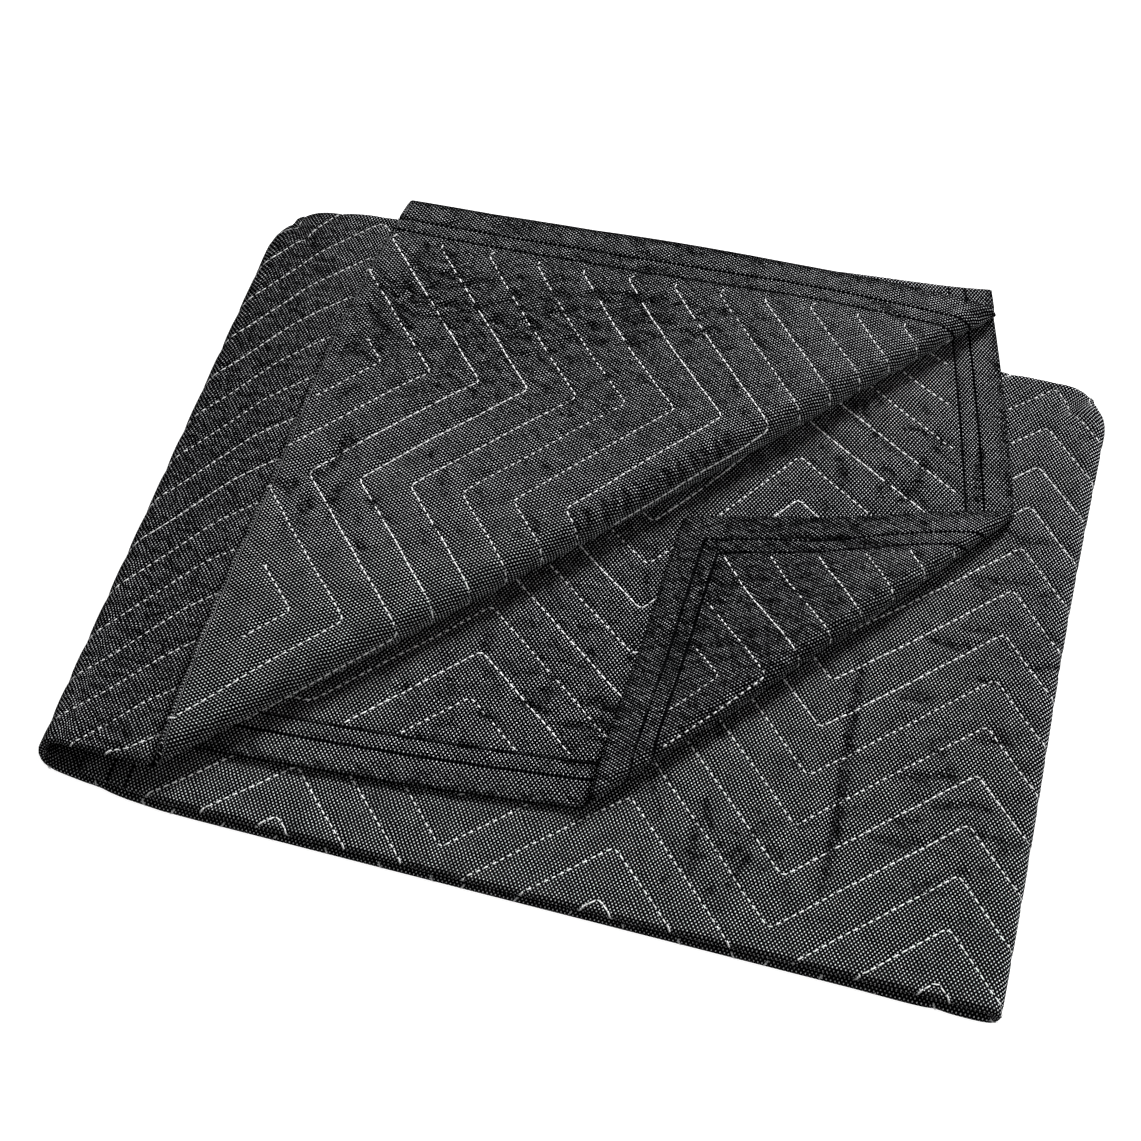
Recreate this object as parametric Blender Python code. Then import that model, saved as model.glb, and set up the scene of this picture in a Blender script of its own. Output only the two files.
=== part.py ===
# A quilted moving blanket folded into a pile: its depth is folded in three, the long
# strip that makes is folded in three across, and two loose corners are turned back.
# Lengths are metres, +Z is up and the pile rests on z = 0.

import math

import bmesh
import bpy
from mathutils import Vector

# Quilting
line_spacing = 0.0423
wave_height = 0.11844
half_wave = {"right": 0.1165, "middle": 0.1070, "left": 0.1165}
crest_start = 0.0915
hem_width = 0.038
groove_depth = 0.00045

# Cloth
cloth_thickness = 0.0022
layer_gap = 0.0008
layer_step = cloth_thickness + layer_gap
back_edge = 0.0042
front_edge = -0.5588
outer_length = 0.5395
inner_length = 0.5460

# Fold lines across the strip
right_line = 0.0400
right_width = 0.6524
left_line = (-0.6425, -0.2707)
left_tilt = math.radians(1.6)
left_width = 0.6400
left_spread = math.radians(8.4)
left_rise = 0.012
hem_bow = 0.016
left_dip = (0.0100, 0.16)
front_sweep = (0.012, 0.12)
right_hollow = {"reach": 0.0030, "span": 0.12, "middle": 0.62, "half": 0.50}
pile_slant = -0.010
corner_round = {"left": 0.041, "right": 0.040}

# Corners turned back: line ends, then roll radius and gathering against distance along the line
top_corner = {
    "start": (-0.5613, -0.5372),
    "end": (-0.0664, 0.0565),
    "radius": ((0.00, 0.0055), (0.20, 0.0110), (0.50, 0.0120), (0.78, 0.0058)),
    "cuts": 7,
    "settle": 0.17,
    "settle_cuts": 4,
    "gather": ((0.32, 0.998), (0.37, 0.984), (0.45, 0.962), (0.56, 0.966), (0.65, 1.003), (0.78, 1.000)),
    "air": 0.003,
}
lower_corner = {
    "start": (-0.2623, -0.4826),
    "end": (-0.0169, -0.1503),
    "radius": ((0.00, 0.0050), (0.12, 0.0078), (0.30, 0.0080), (0.42, 0.0045)),
    "cuts": 5,
    "settle": 0.10,
    "settle_cuts": 3,
    "gather": ((0.00, 0.78),),
    "air": 0.0,
}

# How far the quilting shows past the folds and edges that cover it
side_strip = 0.13
fold_margin = 0.01
body_strip = (0.36, 0.11)
corner_reach = {"start": 0.06, "inner": 0.89, "outer": 0.98, "spare": 0.09}

# Height of the pile against the flat stack: middle value, swell at the two sides, fade to the back
loft = {"middle": 1.02, "swell": 0.10, "back": 0.35}

# Share of the height lost at the thick side fold, and how far in the slope reaches
left_slope = (0.34, 0.085)

# Fold segments
layer_fold_cuts = 4
strip_fold_cuts = 6
corner_cuts = (0.3, 0.6, 1.0)
cut_reach = 0.2
merge_distance = 0.000002


def arc_length(axis_height, packet_height):
    return math.pi * (axis_height - packet_height / 2)


front_axis = cloth_thickness + layer_gap / 2
back_axis = front_axis + layer_step / 2
packet_height = 2 * layer_step + cloth_thickness
right_axis = packet_height + layer_gap / 2
left_axis = packet_height + layer_gap + packet_height / 2 + layer_gap / 2
front_arc = arc_length(front_axis, cloth_thickness)
back_arc = arc_length(back_axis, cloth_thickness)
right_arc = arc_length(right_axis, packet_height)
left_arc = arc_length(left_axis, packet_height)
cloth_right = right_line + right_arc + right_width
cloth_left = left_line[0] - left_arc - left_width
cloth_back = back_edge + back_arc + outer_length
cloth_front = front_edge - front_arc - inner_length
panel_left = left_line[0] - left_arc
panel_right = right_line + right_arc


# Columns where the zigzag turns, from the right hem to the left one, with the way it points.
def turning_columns():
    turns = [(crest_start, 1.0)]
    while turns[-1][0] < cloth_right:
        x, height = turns[-1]
        turns.append((x + half_wave["right"], 1.0 - height))
    turns.reverse()
    while turns[-1][0] > cloth_left:
        x, height = turns[-1]
        panel = "left" if x < panel_left else "middle"
        turns.append((x - half_wave[panel], 1.0 - height))
    turns.reverse()
    return turns


columns = turning_columns()


def zigzag(x):
    for (x0, h0), (x1, h1) in zip(columns, columns[1:]):
        if x <= x1:
            return wave_height * (h0 + (h1 - h0) * (x - x0) / (x1 - x0) - 1.0)
    return 0.0


# Cloth regions in the flat cloth's own coordinates.
def in_top_panels(x, y):
    if not front_edge < y < back_edge:
        return False
    beyond = x - panel_right
    on_body = 0.0 < beyond < body_strip[0] or (beyond > 0.0 and y < front_edge + body_strip[1])
    return on_body or panel_left - side_strip < x < panel_left


def in_turned_corners(x, y):
    run = panel_left - x - corner_reach["start"]
    inner = front_edge - front_arc - y
    outer = cloth_back - y
    if x < cloth_left + hem_width or run < 0.0:
        return False
    if 0.0 < inner:
        return inner < run * corner_reach["inner"] + corner_reach["spare"]
    return hem_width < outer < run * corner_reach["outer"] + corner_reach["spare"]


def is_quilted(x, y):
    return in_top_panels(x, y) or in_turned_corners(x, y)


def is_hidden_middle(x):
    return panel_left < x < panel_right


def is_left_side(x, y):
    return x < left_line[0] + side_strip


def is_left_panel(x):
    return x < panel_left + 2 * fold_margin


def is_turned_top(x, y):
    return x < panel_left and y < back_edge


def is_turned_lower(x, y):
    return x < panel_left and y > back_edge + back_arc


def cut(mesh, point, normal, chosen):
    flat_x, flat_y = cloth_layers(mesh)
    faces = []
    for face in mesh.faces:
        count = len(face.verts)
        x = sum(v[flat_x] for v in face.verts) / count
        y = sum(v[flat_y] for v in face.verts) / count
        if chosen(x, y):
            faces.append(face)
    edges = list({edge for face in faces for edge in face.edges})
    corners = list({vert for face in faces for vert in face.verts})
    bmesh.ops.bisect_plane(
        mesh,
        geom=faces + edges + corners,
        plane_co=point,
        plane_no=normal,
        dist=merge_distance,
    )


def cloth_layers(mesh):
    layers = mesh.verts.layers.float
    flat_x = layers.get("flat_x") or layers.new("flat_x")
    flat_y = layers.get("flat_y") or layers.new("flat_y")
    return flat_x, flat_y


def remember_flat(mesh):
    cloth_layers(mesh)
    flat_x, flat_y = cloth_layers(mesh)
    for vert in mesh.verts:
        vert[flat_x] = vert.co.x
        vert[flat_y] = vert.co.y


def cut_flat(mesh, point, normal, chosen):
    cut(mesh, point, normal, chosen)
    remember_flat(mesh)


# The same line across the pile in each of its three layers.
def cut_all_layers(mesh, y, chosen):
    for line in (y, 2 * front_edge - front_arc - y, 2 * back_edge + back_arc - y):
        cut_flat(mesh, (0, line, 0), (0, 1, 0), chosen)


# The flat cloth, cut where it will bend and along its quilting.
def flat_cloth():
    mesh = bmesh.new()
    bmesh.ops.create_grid(mesh, x_segments=1, y_segments=1, size=0.5)
    for vert in mesh.verts:
        vert.co.x = cloth_left + (vert.co.x + 0.5) * (cloth_right - cloth_left)
        vert.co.y = cloth_front + (vert.co.y + 0.5) * (cloth_back - cloth_front)
    remember_flat(mesh)

    def everywhere(x, y):
        return True

    for i in range(layer_fold_cuts + 1):
        part = i / layer_fold_cuts
        cut_flat(mesh, (0, front_edge - part * front_arc, 0), (0, 1, 0), everywhere)
        cut_flat(mesh, (0, back_edge + part * back_arc, 0), (0, 1, 0), everywhere)
    for i in range(strip_fold_cuts + 1):
        cut_flat(mesh, (right_line + right_arc * i / strip_fold_cuts, 0, 0), (1, 0, 0), everywhere)

    far_hem = right_line + panel_right - left_line[0]

    def near_side_folds(x, y):
        left_side = panel_left - side_strip < x < left_line[0] + side_strip
        return left_side or abs(x - right_line) < side_strip or abs(x - far_hem) < side_strip

    cut_all_layers(mesh, (front_edge + back_edge) / 2, everywhere)
    for part in corner_cuts:
        inward = part * corner_round["left"]
        cut_all_layers(mesh, back_edge - inward, near_side_folds)
        for line in (left_line[0] + inward, panel_left - inward, far_hem - inward):
            cut_flat(mesh, (line, 0, 0), (1, 0, 0), near_side_folds)
        inward = part * corner_round["right"]
        for line in (right_line - inward, panel_right + inward):
            cut_flat(mesh, (line, 0, 0), (1, 0, 0), near_side_folds)
    for part in (1.0, 0.5):
        inward = left_line[0] + part * front_sweep[1]
        cut_flat(mesh, (inward, 0, 0), (1, 0, 0), everywhere)
        cut_flat(mesh, (right_line + panel_right - inward, 0, 0), (1, 0, 0), everywhere)
        cut_all_layers(mesh, front_edge + part * front_sweep[1], near_side_folds)

    def left_side(x, y):
        return x < panel_left - fold_margin

    cut_flat(mesh, (cloth_left + hem_width, 0, 0), (1, 0, 0), left_side)
    cut_flat(mesh, (0, cloth_back - hem_width, 0), (0, 1, 0), left_side)
    for x, height in columns:
        if not is_hidden_middle(x):
            cut_flat(mesh, (x, 0, 0), (1, 0, 0), everywhere)
        if x > panel_right:
            cut_flat(mesh, (right_line + panel_right - x, 0, 0), (1, 0, 0), everywhere)
    for (x0, h0), (x1, h1) in zip(columns, columns[1:]):
        if is_hidden_middle(x0) and is_hidden_middle(x1):
            continue
        quilt_band(mesh, x0, x1)
    return mesh


def quilt_band(mesh, x0, x1):
    rise = (zigzag(x1) - zigzag(x0)) / (x1 - x0)
    normal = Vector((-rise, 1.0, 0.0)).normalized()

    def in_band(x, y):
        return x0 < x < x1 and is_quilted(x, y)

    first = math.floor(cloth_front / line_spacing)
    last = math.ceil((cloth_back + wave_height) / line_spacing)
    for half in range(2 * first, 2 * last + 1):
        y = half * line_spacing / 2 + zigzag(x0)
        cut_flat(mesh, (x0, y, 0), normal, in_band)


def groove(x, y):
    if not is_quilted(x, y):
        return 0.0
    phase = (y - zigzag(x)) / line_spacing
    off_line = abs(phase - round(phase))
    return groove_depth * (1.0 - 2.0 * off_line) ** 2


# Both faces of the cloth and its cut edges, pinched in at the quilting.
def give_thickness(mesh):
    flat_x, flat_y = cloth_layers(mesh)
    lower = mesh.faces[:]
    upper = bmesh.ops.extrude_face_region(mesh, geom=lower, use_keep_orig=True)
    upper_verts = [item for item in upper["geom"] if isinstance(item, bmesh.types.BMVert)]
    for vert in mesh.verts:
        vert.co.z = groove(vert[flat_x], vert[flat_y])
    for vert in upper_verts:
        vert.co.z = cloth_thickness - vert.co.z


# Turn everything beyond a line up and over an axis.
def fold_over(verts, point, outward, axis_height, arc):
    mean_radius = arc / math.pi
    for vert in verts:
        beyond = (vert.co.x - point[0]) * outward[0] + (vert.co.y - point[1]) * outward[1]
        if beyond <= 0.0:
            continue
        radius = axis_height - vert.co.z
        if beyond < arc:
            angle = beyond / mean_radius
            moved = radius * math.sin(angle)
            vert.co.z = axis_height - radius * math.cos(angle)
        else:
            moved = arc - beyond
            vert.co.z = 2 * axis_height - vert.co.z
        vert.co.x += (moved - beyond) * outward[0]
        vert.co.y += (moved - beyond) * outward[1]


# The left third lies at a growing angle to the rest of the pile, its far back corner lower.
def swing_left_panel(verts):
    turn = 2 * left_tilt
    along = Vector((math.cos(turn), math.sin(turn)))
    across = Vector((-math.sin(turn), math.cos(turn)))
    start = Vector(left_line)
    bend = left_width / left_spread
    depth = back_edge - front_edge
    dip, span = left_dip
    for vert in verts:
        offset = Vector((vert.co.x, vert.co.y)) - start
        run = offset.dot(along)
        side = offset.dot(across)
        if run <= 0.0:
            continue
        near_hem = smooth((run - left_width + span) / span)
        side -= dip * near_hem * smooth(2 * side / depth)
        run *= 1.0 + hem_bow * (1.0 - (2 * side / depth) ** 2)
        angle = run / bend
        run = (bend - side) * math.sin(angle)
        side = bend - (bend - side) * math.cos(angle)
        place = start + run * along + side * across
        vert.co.x = place.x
        vert.co.y = place.y


def table_value(table, position):
    if position <= table[0][0]:
        return table[0][1]
    for (p0, v0), (p1, v1) in zip(table, table[1:]):
        if position <= p1:
            return v0 + (v1 - v0) * (position - p0) / (p1 - p0)
    return table[-1][1]


def smooth(value):
    value = min(max(value, 0.0), 1.0)
    return value * value * (3.0 - 2.0 * value)


def corner_frame(corner):
    start = Vector(corner["start"])
    along = (Vector(corner["end"]) - start).normalized()
    outward = Vector((along.y, -along.x))
    return start, along, outward


# Cuts that follow the roll of a turned-back corner, wider where the roll is wider.
def cut_corner(mesh, corner, chosen):
    start, along, outward = corner_frame(corner)
    table = corner["radius"]
    lines = [(math.pi * i / corner["cuts"], 0.0) for i in range(corner["cuts"] + 1)]
    step = corner["settle"] / corner["settle_cuts"]
    lines += [(math.pi, step * (i + 1)) for i in range(corner["settle_cuts"])]
    for turned, past in lines:
        for (p0, r0), (p1, r1) in zip(table, table[1:]):
            a = start + along * p0 + outward * (turned * r0 + past)
            b = start + along * p1 + outward * (turned * r1 + past)
            line = b - a
            low = p0 - (cut_reach if p0 == table[0][0] else 0.0)
            high = p1 + (cut_reach if p1 == table[-1][0] else 0.0)
            normal = Vector((line.y, -line.x, 0.0)).normalized()
            cut_between(mesh, (a.x, a.y, 0.0), normal, chosen, (start, along, low, high))


def cut_between(mesh, point, normal, chosen, span):
    start, along, low, high = span
    flat_x, flat_y = cloth_layers(mesh)
    picked = []
    for face in mesh.faces:
        count = len(face.verts)
        x = sum(v[flat_x] for v in face.verts) / count
        y = sum(v[flat_y] for v in face.verts) / count
        centre = face.calc_center_median()
        position = (Vector((centre.x, centre.y)) - start).dot(along)
        if chosen(x, y) and low <= position <= high:
            picked.append(face)
    edges = list({edge for face in picked for edge in face.edges})
    corners = list({vert for face in picked for vert in face.verts})
    bmesh.ops.bisect_plane(
        mesh,
        geom=picked + edges + corners,
        plane_co=point,
        plane_no=normal,
        dist=merge_distance,
    )


def split_along(mesh, corner, chosen):
    start, along, outward = corner_frame(corner)
    positions = [position for position, radius in corner["radius"]]
    halfway = [(p0 + p1) / 2 for p0, p1 in zip(positions, positions[1:])]
    for position in positions + halfway:
        point = start + along * position
        cut(mesh, (point.x, point.y, 0.0), (along.x, along.y, 0.0), chosen)


# Roll a loose corner back over itself, then let it settle on what lies under it.
def turn_back(mesh, corner, chosen, lowest, packet):
    flat_x, flat_y = cloth_layers(mesh)
    start, along, outward = corner_frame(corner)
    flattest = lowest + packet + (layer_gap + corner["air"]) / 2
    for vert in mesh.verts:
        if not chosen(vert[flat_x], vert[flat_y]):
            continue
        offset = Vector((vert.co.x, vert.co.y)) - start
        beyond = offset.dot(outward)
        if beyond <= 0.0:
            continue
        mean_radius = table_value(corner["radius"], offset.dot(along))
        axis_height = lowest + packet / 2 + mean_radius
        axis_height = max(axis_height, flattest)
        arc = math.pi * mean_radius
        radius = axis_height - vert.co.z
        if beyond < arc:
            angle = beyond / mean_radius
            moved = radius * math.sin(angle)
            vert.co.z = axis_height - radius * math.cos(angle)
        else:
            past = beyond - arc
            moved = -past * table_value(corner["gather"], offset.dot(along))
            drop = 2 * (axis_height - flattest) * smooth(past / corner["settle"])
            vert.co.z = 2 * axis_height - vert.co.z - drop
        vert.co.x += (moved - beyond) * outward.x
        vert.co.y += (moved - beyond) * outward.y


def fold_pile(mesh):
    fold_over(mesh.verts, (0, front_edge), (0, -1), front_axis, front_arc)
    fold_over(mesh.verts, (0, back_edge), (0, 1), back_axis, back_arc)
    fold_over(mesh.verts, (right_line, 0), (1, 0), right_axis, right_arc)
    outward = (-math.cos(left_tilt), -math.sin(left_tilt))
    for i in range(strip_fold_cuts + 1):
        shift = left_arc * i / strip_fold_cuts
        point = (left_line[0] + shift * outward[0], left_line[1] + shift * outward[1], 0)
        cut(mesh, point, (outward[0], outward[1], 0), is_left_side)
    for vert in mesh.verts:
        beyond = (vert.co.x - left_line[0]) * outward[0] + (vert.co.y - left_line[1]) * outward[1]
        vert.co.y += left_rise * smooth(beyond / left_arc)
    fold_over(mesh.verts, left_line, outward, left_axis, left_arc)
    flat_x, flat_y = cloth_layers(mesh)
    swing_left_panel([vert for vert in mesh.verts if is_left_panel(vert[flat_x])])
    bottom = 2 * left_axis - packet_height
    split_along(mesh, top_corner, is_turned_top)
    cut_corner(mesh, top_corner, is_turned_top)
    split_along(mesh, lower_corner, is_turned_lower)
    cut_corner(mesh, lower_corner, is_turned_lower)
    bmesh.ops.triangulate(mesh, faces=mesh.faces[:])
    double = layer_step + cloth_thickness
    turn_back(mesh, top_corner, is_turned_top, bottom + layer_step, double)
    turn_back(mesh, lower_corner, is_turned_lower, bottom, cloth_thickness)


# The thick folded corners of the pile are rounded, seen from above.
def round_corner(verts, corner, inward, radius):
    centre_x = corner[0] + inward[0] * radius
    centre_y = corner[1] + inward[1] * radius
    for vert in verts:
        dx = (centre_x - vert.co.x) * inward[0]
        dy = (centre_y - vert.co.y) * inward[1]
        if dx <= 0.0 or dy <= 0.0:
            continue
        shrink = max(dx, dy) / math.hypot(dx, dy)
        vert.co.x = centre_x - inward[0] * dx * shrink
        vert.co.y = centre_y - inward[1] * dy * shrink


# The other side fold draws in a little between its two ends.
def hollow_right_side(verts, right_side):
    for vert in verts:
        near_side = smooth(1.0 - (right_side - vert.co.x) / right_hollow["span"])
        to_back = (vert.co.y - front_edge) / (back_edge - front_edge)
        off_middle = abs(to_back - right_hollow["middle"]) / right_hollow["half"]
        vert.co.x -= right_hollow["reach"] * near_side * smooth(1.0 - off_middle)


# The front edge sweeps back where it nears the thick side fold.
def sweep_front(verts):
    reach, span = front_sweep
    for vert in verts:
        to_side = 1.0 - (vert.co.x - left_line[0] + left_axis) / span
        to_front = 1.0 - (vert.co.y - front_edge) / span
        vert.co.y += reach * smooth(to_side) * smooth(to_front)


# The stack stands higher near its two folded sides than in the middle of its front,
# and slopes down to the thick side fold.
def lift_pile(mesh):
    middle = (left_line[0] + right_line) / 2
    width = right_line - left_line[0]
    drop, span = left_slope
    for vert in mesh.verts:
        left_side = left_line[0] - left_axis - math.tan(left_tilt) * (vert.co.y - left_line[1])
        vert.co.z *= 1.0 - drop * (1.0 - smooth((vert.co.x - left_side) / span))
        swell = -math.cos(2 * math.pi * (vert.co.x - middle) / width)
        to_back = (vert.co.y - front_edge) / (back_edge - front_edge)
        fade = 1.0 + (loft["back"] - 1.0) * to_back
        vert.co.z *= loft["middle"] + loft["swell"] * swell * fade


def settle_square(mesh):
    lift_pile(mesh)
    slope = math.tan(left_tilt)
    left_back = left_line[0] - left_axis - slope * (back_edge - left_line[1])
    right_side = right_line + right_axis
    back_side = back_edge + back_axis
    round_corner(mesh.verts, (left_back, back_side + left_rise), (1, -1), corner_round["left"])
    round_corner(mesh.verts, (right_side, back_side), (-1, -1), corner_round["right"])
    hollow_right_side(mesh.verts, right_side)
    sweep_front(mesh.verts)
    for vert in mesh.verts:
        vert.co.y += pile_slant * vert.co.x
    low_x = min(vert.co.x for vert in mesh.verts)
    high_x = max(vert.co.x for vert in mesh.verts)
    low_y = min(vert.co.y for vert in mesh.verts)
    high_y = max(vert.co.y for vert in mesh.verts)
    for vert in mesh.verts:
        vert.co.x -= (low_x + high_x) / 2
        vert.co.y -= (low_y + high_y) / 2


def quilted_cotton():
    material = bpy.data.materials.new("quilted_cloth")
    material.use_nodes = True
    shader = material.node_tree.nodes["Principled BSDF"]
    shader.inputs["Base Color"].default_value = (0.035, 0.036, 0.040, 1.0)
    shader.inputs["Roughness"].default_value = 0.9
    return material


for old in list(bpy.data.objects):
    bpy.data.objects.remove(old, do_unlink=True)

cloth = flat_cloth()
give_thickness(cloth)
fold_pile(cloth)
settle_square(cloth)
bmesh.ops.recalc_face_normals(cloth, faces=cloth.faces[:])
data = bpy.data.meshes.new("blanket")
cloth.to_mesh(data)
cloth.free()
data.materials.append(quilted_cotton())
blanket = bpy.data.objects.new("blanket", data)
bpy.context.scene.collection.objects.link(blanket)
print("blanket triangles", len(data.polygons))
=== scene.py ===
import math

import bpy
import numpy as np
from mathutils import Euler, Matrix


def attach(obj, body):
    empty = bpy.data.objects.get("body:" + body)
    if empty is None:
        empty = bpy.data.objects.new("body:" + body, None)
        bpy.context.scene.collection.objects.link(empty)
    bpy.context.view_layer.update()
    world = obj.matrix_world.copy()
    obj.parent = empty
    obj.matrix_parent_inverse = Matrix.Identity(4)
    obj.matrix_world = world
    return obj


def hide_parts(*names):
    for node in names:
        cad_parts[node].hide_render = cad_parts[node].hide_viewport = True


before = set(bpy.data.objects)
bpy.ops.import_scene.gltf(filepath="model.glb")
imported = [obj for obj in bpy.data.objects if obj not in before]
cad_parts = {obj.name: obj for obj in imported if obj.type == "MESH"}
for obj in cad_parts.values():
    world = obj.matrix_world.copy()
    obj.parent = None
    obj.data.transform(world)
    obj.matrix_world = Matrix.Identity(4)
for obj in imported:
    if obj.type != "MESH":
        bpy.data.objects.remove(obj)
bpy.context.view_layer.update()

for loaded in bpy.context.selected_objects:
    loaded.select_set(False)

# The quilted cloth laid flat, in metres: the zigzag lines run along x and follow each other along y
cloth = {
    "thickness": 0.0022,
    "layerGap": 0.0008,
    "lineSpacing": 0.0423,
    "waveHeight": 0.11844,
    "halfWave": {"right": 0.1165, "middle": 0.1070, "left": 0.1165},
    "crestStart": 0.0915,
    "cellsPerLine": 11,
    "cellsPerWave": 31,
    "puff": 0.00045,
    "pinch": 0.00065,
    "waver": 0.00042,
    "waverWaves": ((1.0, 61.0, 17.0, 0.0), (0.6, 143.0, -39.0, 1.7)),  # strength, turns in x, y, shift
    "turnRadius": 0.0032,  # reach over which the turns of a line are rounded
    "hemRows": (0.024, 0.038),  # from the edge
    "hemRise": 0.00015,
    "hemEase": 0.006,
    "grooveWidth": 0.0016,
    "grooveDepth": 0.0006,
    "edgeRound": 0.0012,
    "edgeDrop": 0.0006,
}

# How the cloth is folded, in metres on the plan of the pile. A pair is a size and the reach over which
# it fades, except for leftLine, a place on the left fold, and pileCentre, which comes to the origin
folds = {
    "backEdge": 0.0042,
    "frontEdge": -0.5588,
    "outerLength": 0.5395,
    "innerLength": 0.5460,
    "rightLine": 0.0400,
    "rightWidth": 0.6524,
    "leftLine": (-0.6425, -0.2707),
    "leftTilt": math.radians(1.6),
    "leftWidth": 0.6400,
    "leftMargin": 0.02,
    "leftSpread": math.radians(8.4),
    "leftRise": 0.012,
    "hemBow": 0.016,
    "leftDip": (0.0100, 0.16),
    "frontSweep": (0.012, 0.12),
    "rightHollow": {"reach": 0.0030, "span": 0.12, "middle": 0.62, "half": 0.50},
    "pileSlant": -0.010,
    "cornerRound": {"left": 0.041, "right": 0.040},
    "loft": {"middle": 1.02, "swell": 0.10, "back": 0.35},  # shares of the plain height
    "leftSlope": (0.34, 0.085),
    "pileCentre": (-0.3068909, -0.2367439),
}

# Corners turned back: ends of the fold line, and against the distance along it the roll's radius and
# the share of its length that the cloth beyond it keeps where it gathers
topCorner = {
    "start": (-0.5613, -0.5372),
    "end": (-0.0664, 0.0565),
    "radius": ((0.00, 0.0055), (0.20, 0.0110), (0.50, 0.0120), (0.78, 0.0058)),
    "settle": 0.17,
    "gather": ((0.32, 0.998), (0.37, 0.984), (0.45, 0.962), (0.56, 0.966), (0.65, 1.003), (0.78, 1.000)),
    "air": 0.003,
}
lowerCorner = {
    "start": (-0.2623, -0.4826),
    "end": (-0.0169, -0.1503),
    "radius": ((0.00, 0.0050), (0.12, 0.0078), (0.30, 0.0080), (0.42, 0.0045)),
    "settle": 0.10,
    "gather": ((0.00, 0.78),),
    "air": 0.0,
}


# Length of the middle layer of a stack round a half turn about the axis
def arcLength(axisHeight, stackHeight):
    return math.pi * (axisHeight - stackHeight / 2)


thickness, layerGap, lineSpacing = cloth["thickness"], cloth["layerGap"], cloth["lineSpacing"]
hemRows, edgeRound = cloth["hemRows"], cloth["edgeRound"]
frontEdge, backEdge = folds["frontEdge"], folds["backEdge"]
leftLine, rightLine = folds["leftLine"], folds["rightLine"]
layerStep = thickness + layerGap
frontAxis = thickness + layerGap / 2
backAxis = frontAxis + layerStep / 2
packet = 2 * layerStep + thickness
rightAxis = packet + layerGap / 2
leftAxis = packet + layerGap + packet / 2 + layerGap / 2
frontArc = arcLength(frontAxis, thickness)
backArc = arcLength(backAxis, thickness)
rightArc = arcLength(rightAxis, packet)
leftArc = arcLength(leftAxis, packet)
panelRight = rightLine + rightArc
panelLeft = leftLine[0] - leftArc
clothRight = panelRight + folds["rightWidth"]
clothLeft = panelLeft - folds["leftWidth"]
clothBack = backEdge + backArc + folds["outerLength"]
clothFront = frontEdge - frontArc - folds["innerLength"]

# Turns of one counted line on the left third, where the quilting ran unevenly:
# distance from the left hem's edge, the line's y there, line spacing there
unevenQuilting = {
    "tucked": {"line": -13, "start": clothLeft, "turns": (
        (0.0275, -0.584, 0.0411),
        (0.0475, -0.565, 0.0411),
        (0.184, -0.6865, 0.0394),
        (0.302, -0.587, 0.0402),
        (0.4345, -0.694, 0.0390),
        (0.555, -0.590, 0.0395),
    )},
    "loose": {"line": 8, "start": clothLeft, "turns": (
        (0.044, 0.330, 0.0465),
        (0.1665, 0.212, 0.0440),
        (0.275, 0.334, 0.0416),
        (0.381, 0.226, 0.0410),
        (0.488, 0.333, 0.0410),
    )},
    "corner": {"line": 11, "start": clothLeft, "turns": (
        (0.036, 0.435, 0.0390),
        (0.171, 0.335, 0.0366),
        (0.276, 0.440, 0.0366),
    )},
}
sideFoldTurn = (panelLeft - 0.0455, -0.0415, 0.0425)

# Where one way of quilting passes into the next, in metres beyond each fold line
quiltChange = {
    "leftFold": (0.01, 0.05),
    "frontFold": (-0.012, 0.002),
    "backFold": (-0.002, 0.012),
    "cornerFold": (-0.004, 0.010),
}

# The camera and the square view that it takes, in pixels
view = {
    "place": (0.25858, -1.08305, 1.4122),
    "turn": (37.57, -0.407, 15.397),
    "lens": 73.676,
    "sensor": 36.0,
    "pixels": 1141,
    "farEnd": 50.0,
}

# Parts of the cloth that the camera sees: face, flat limits in x and y, a turned-back corner, and how
# far beyond that corner's fold line the part starts and ends
turnedOver, anywhere = (0.0, math.inf), (-math.inf, math.inf)
looseEnd = (backEdge + backArc, clothBack)
partsSeen = {
    "largeCorner": ("outer", (clothLeft, panelLeft), (clothFront, frontEdge), topCorner, turnedOver),
    "smallCorner": ("outer", (clothLeft, panelLeft), looseEnd, lowerCorner, turnedOver),
    "pile": ("outer", (panelRight - 0.02, panelRight + 0.62), (frontEdge - 0.005, backEdge + 0.005),
             topCorner, anywhere),
    "leftStrip": ("outer", (panelLeft - 0.2, panelLeft + 0.03), (frontEdge, backEdge), topCorner, anywhere),
    "betweenCorners": ("inner", (clothLeft, panelLeft), looseEnd, lowerCorner, (-math.inf, 0.005)),
}

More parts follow.
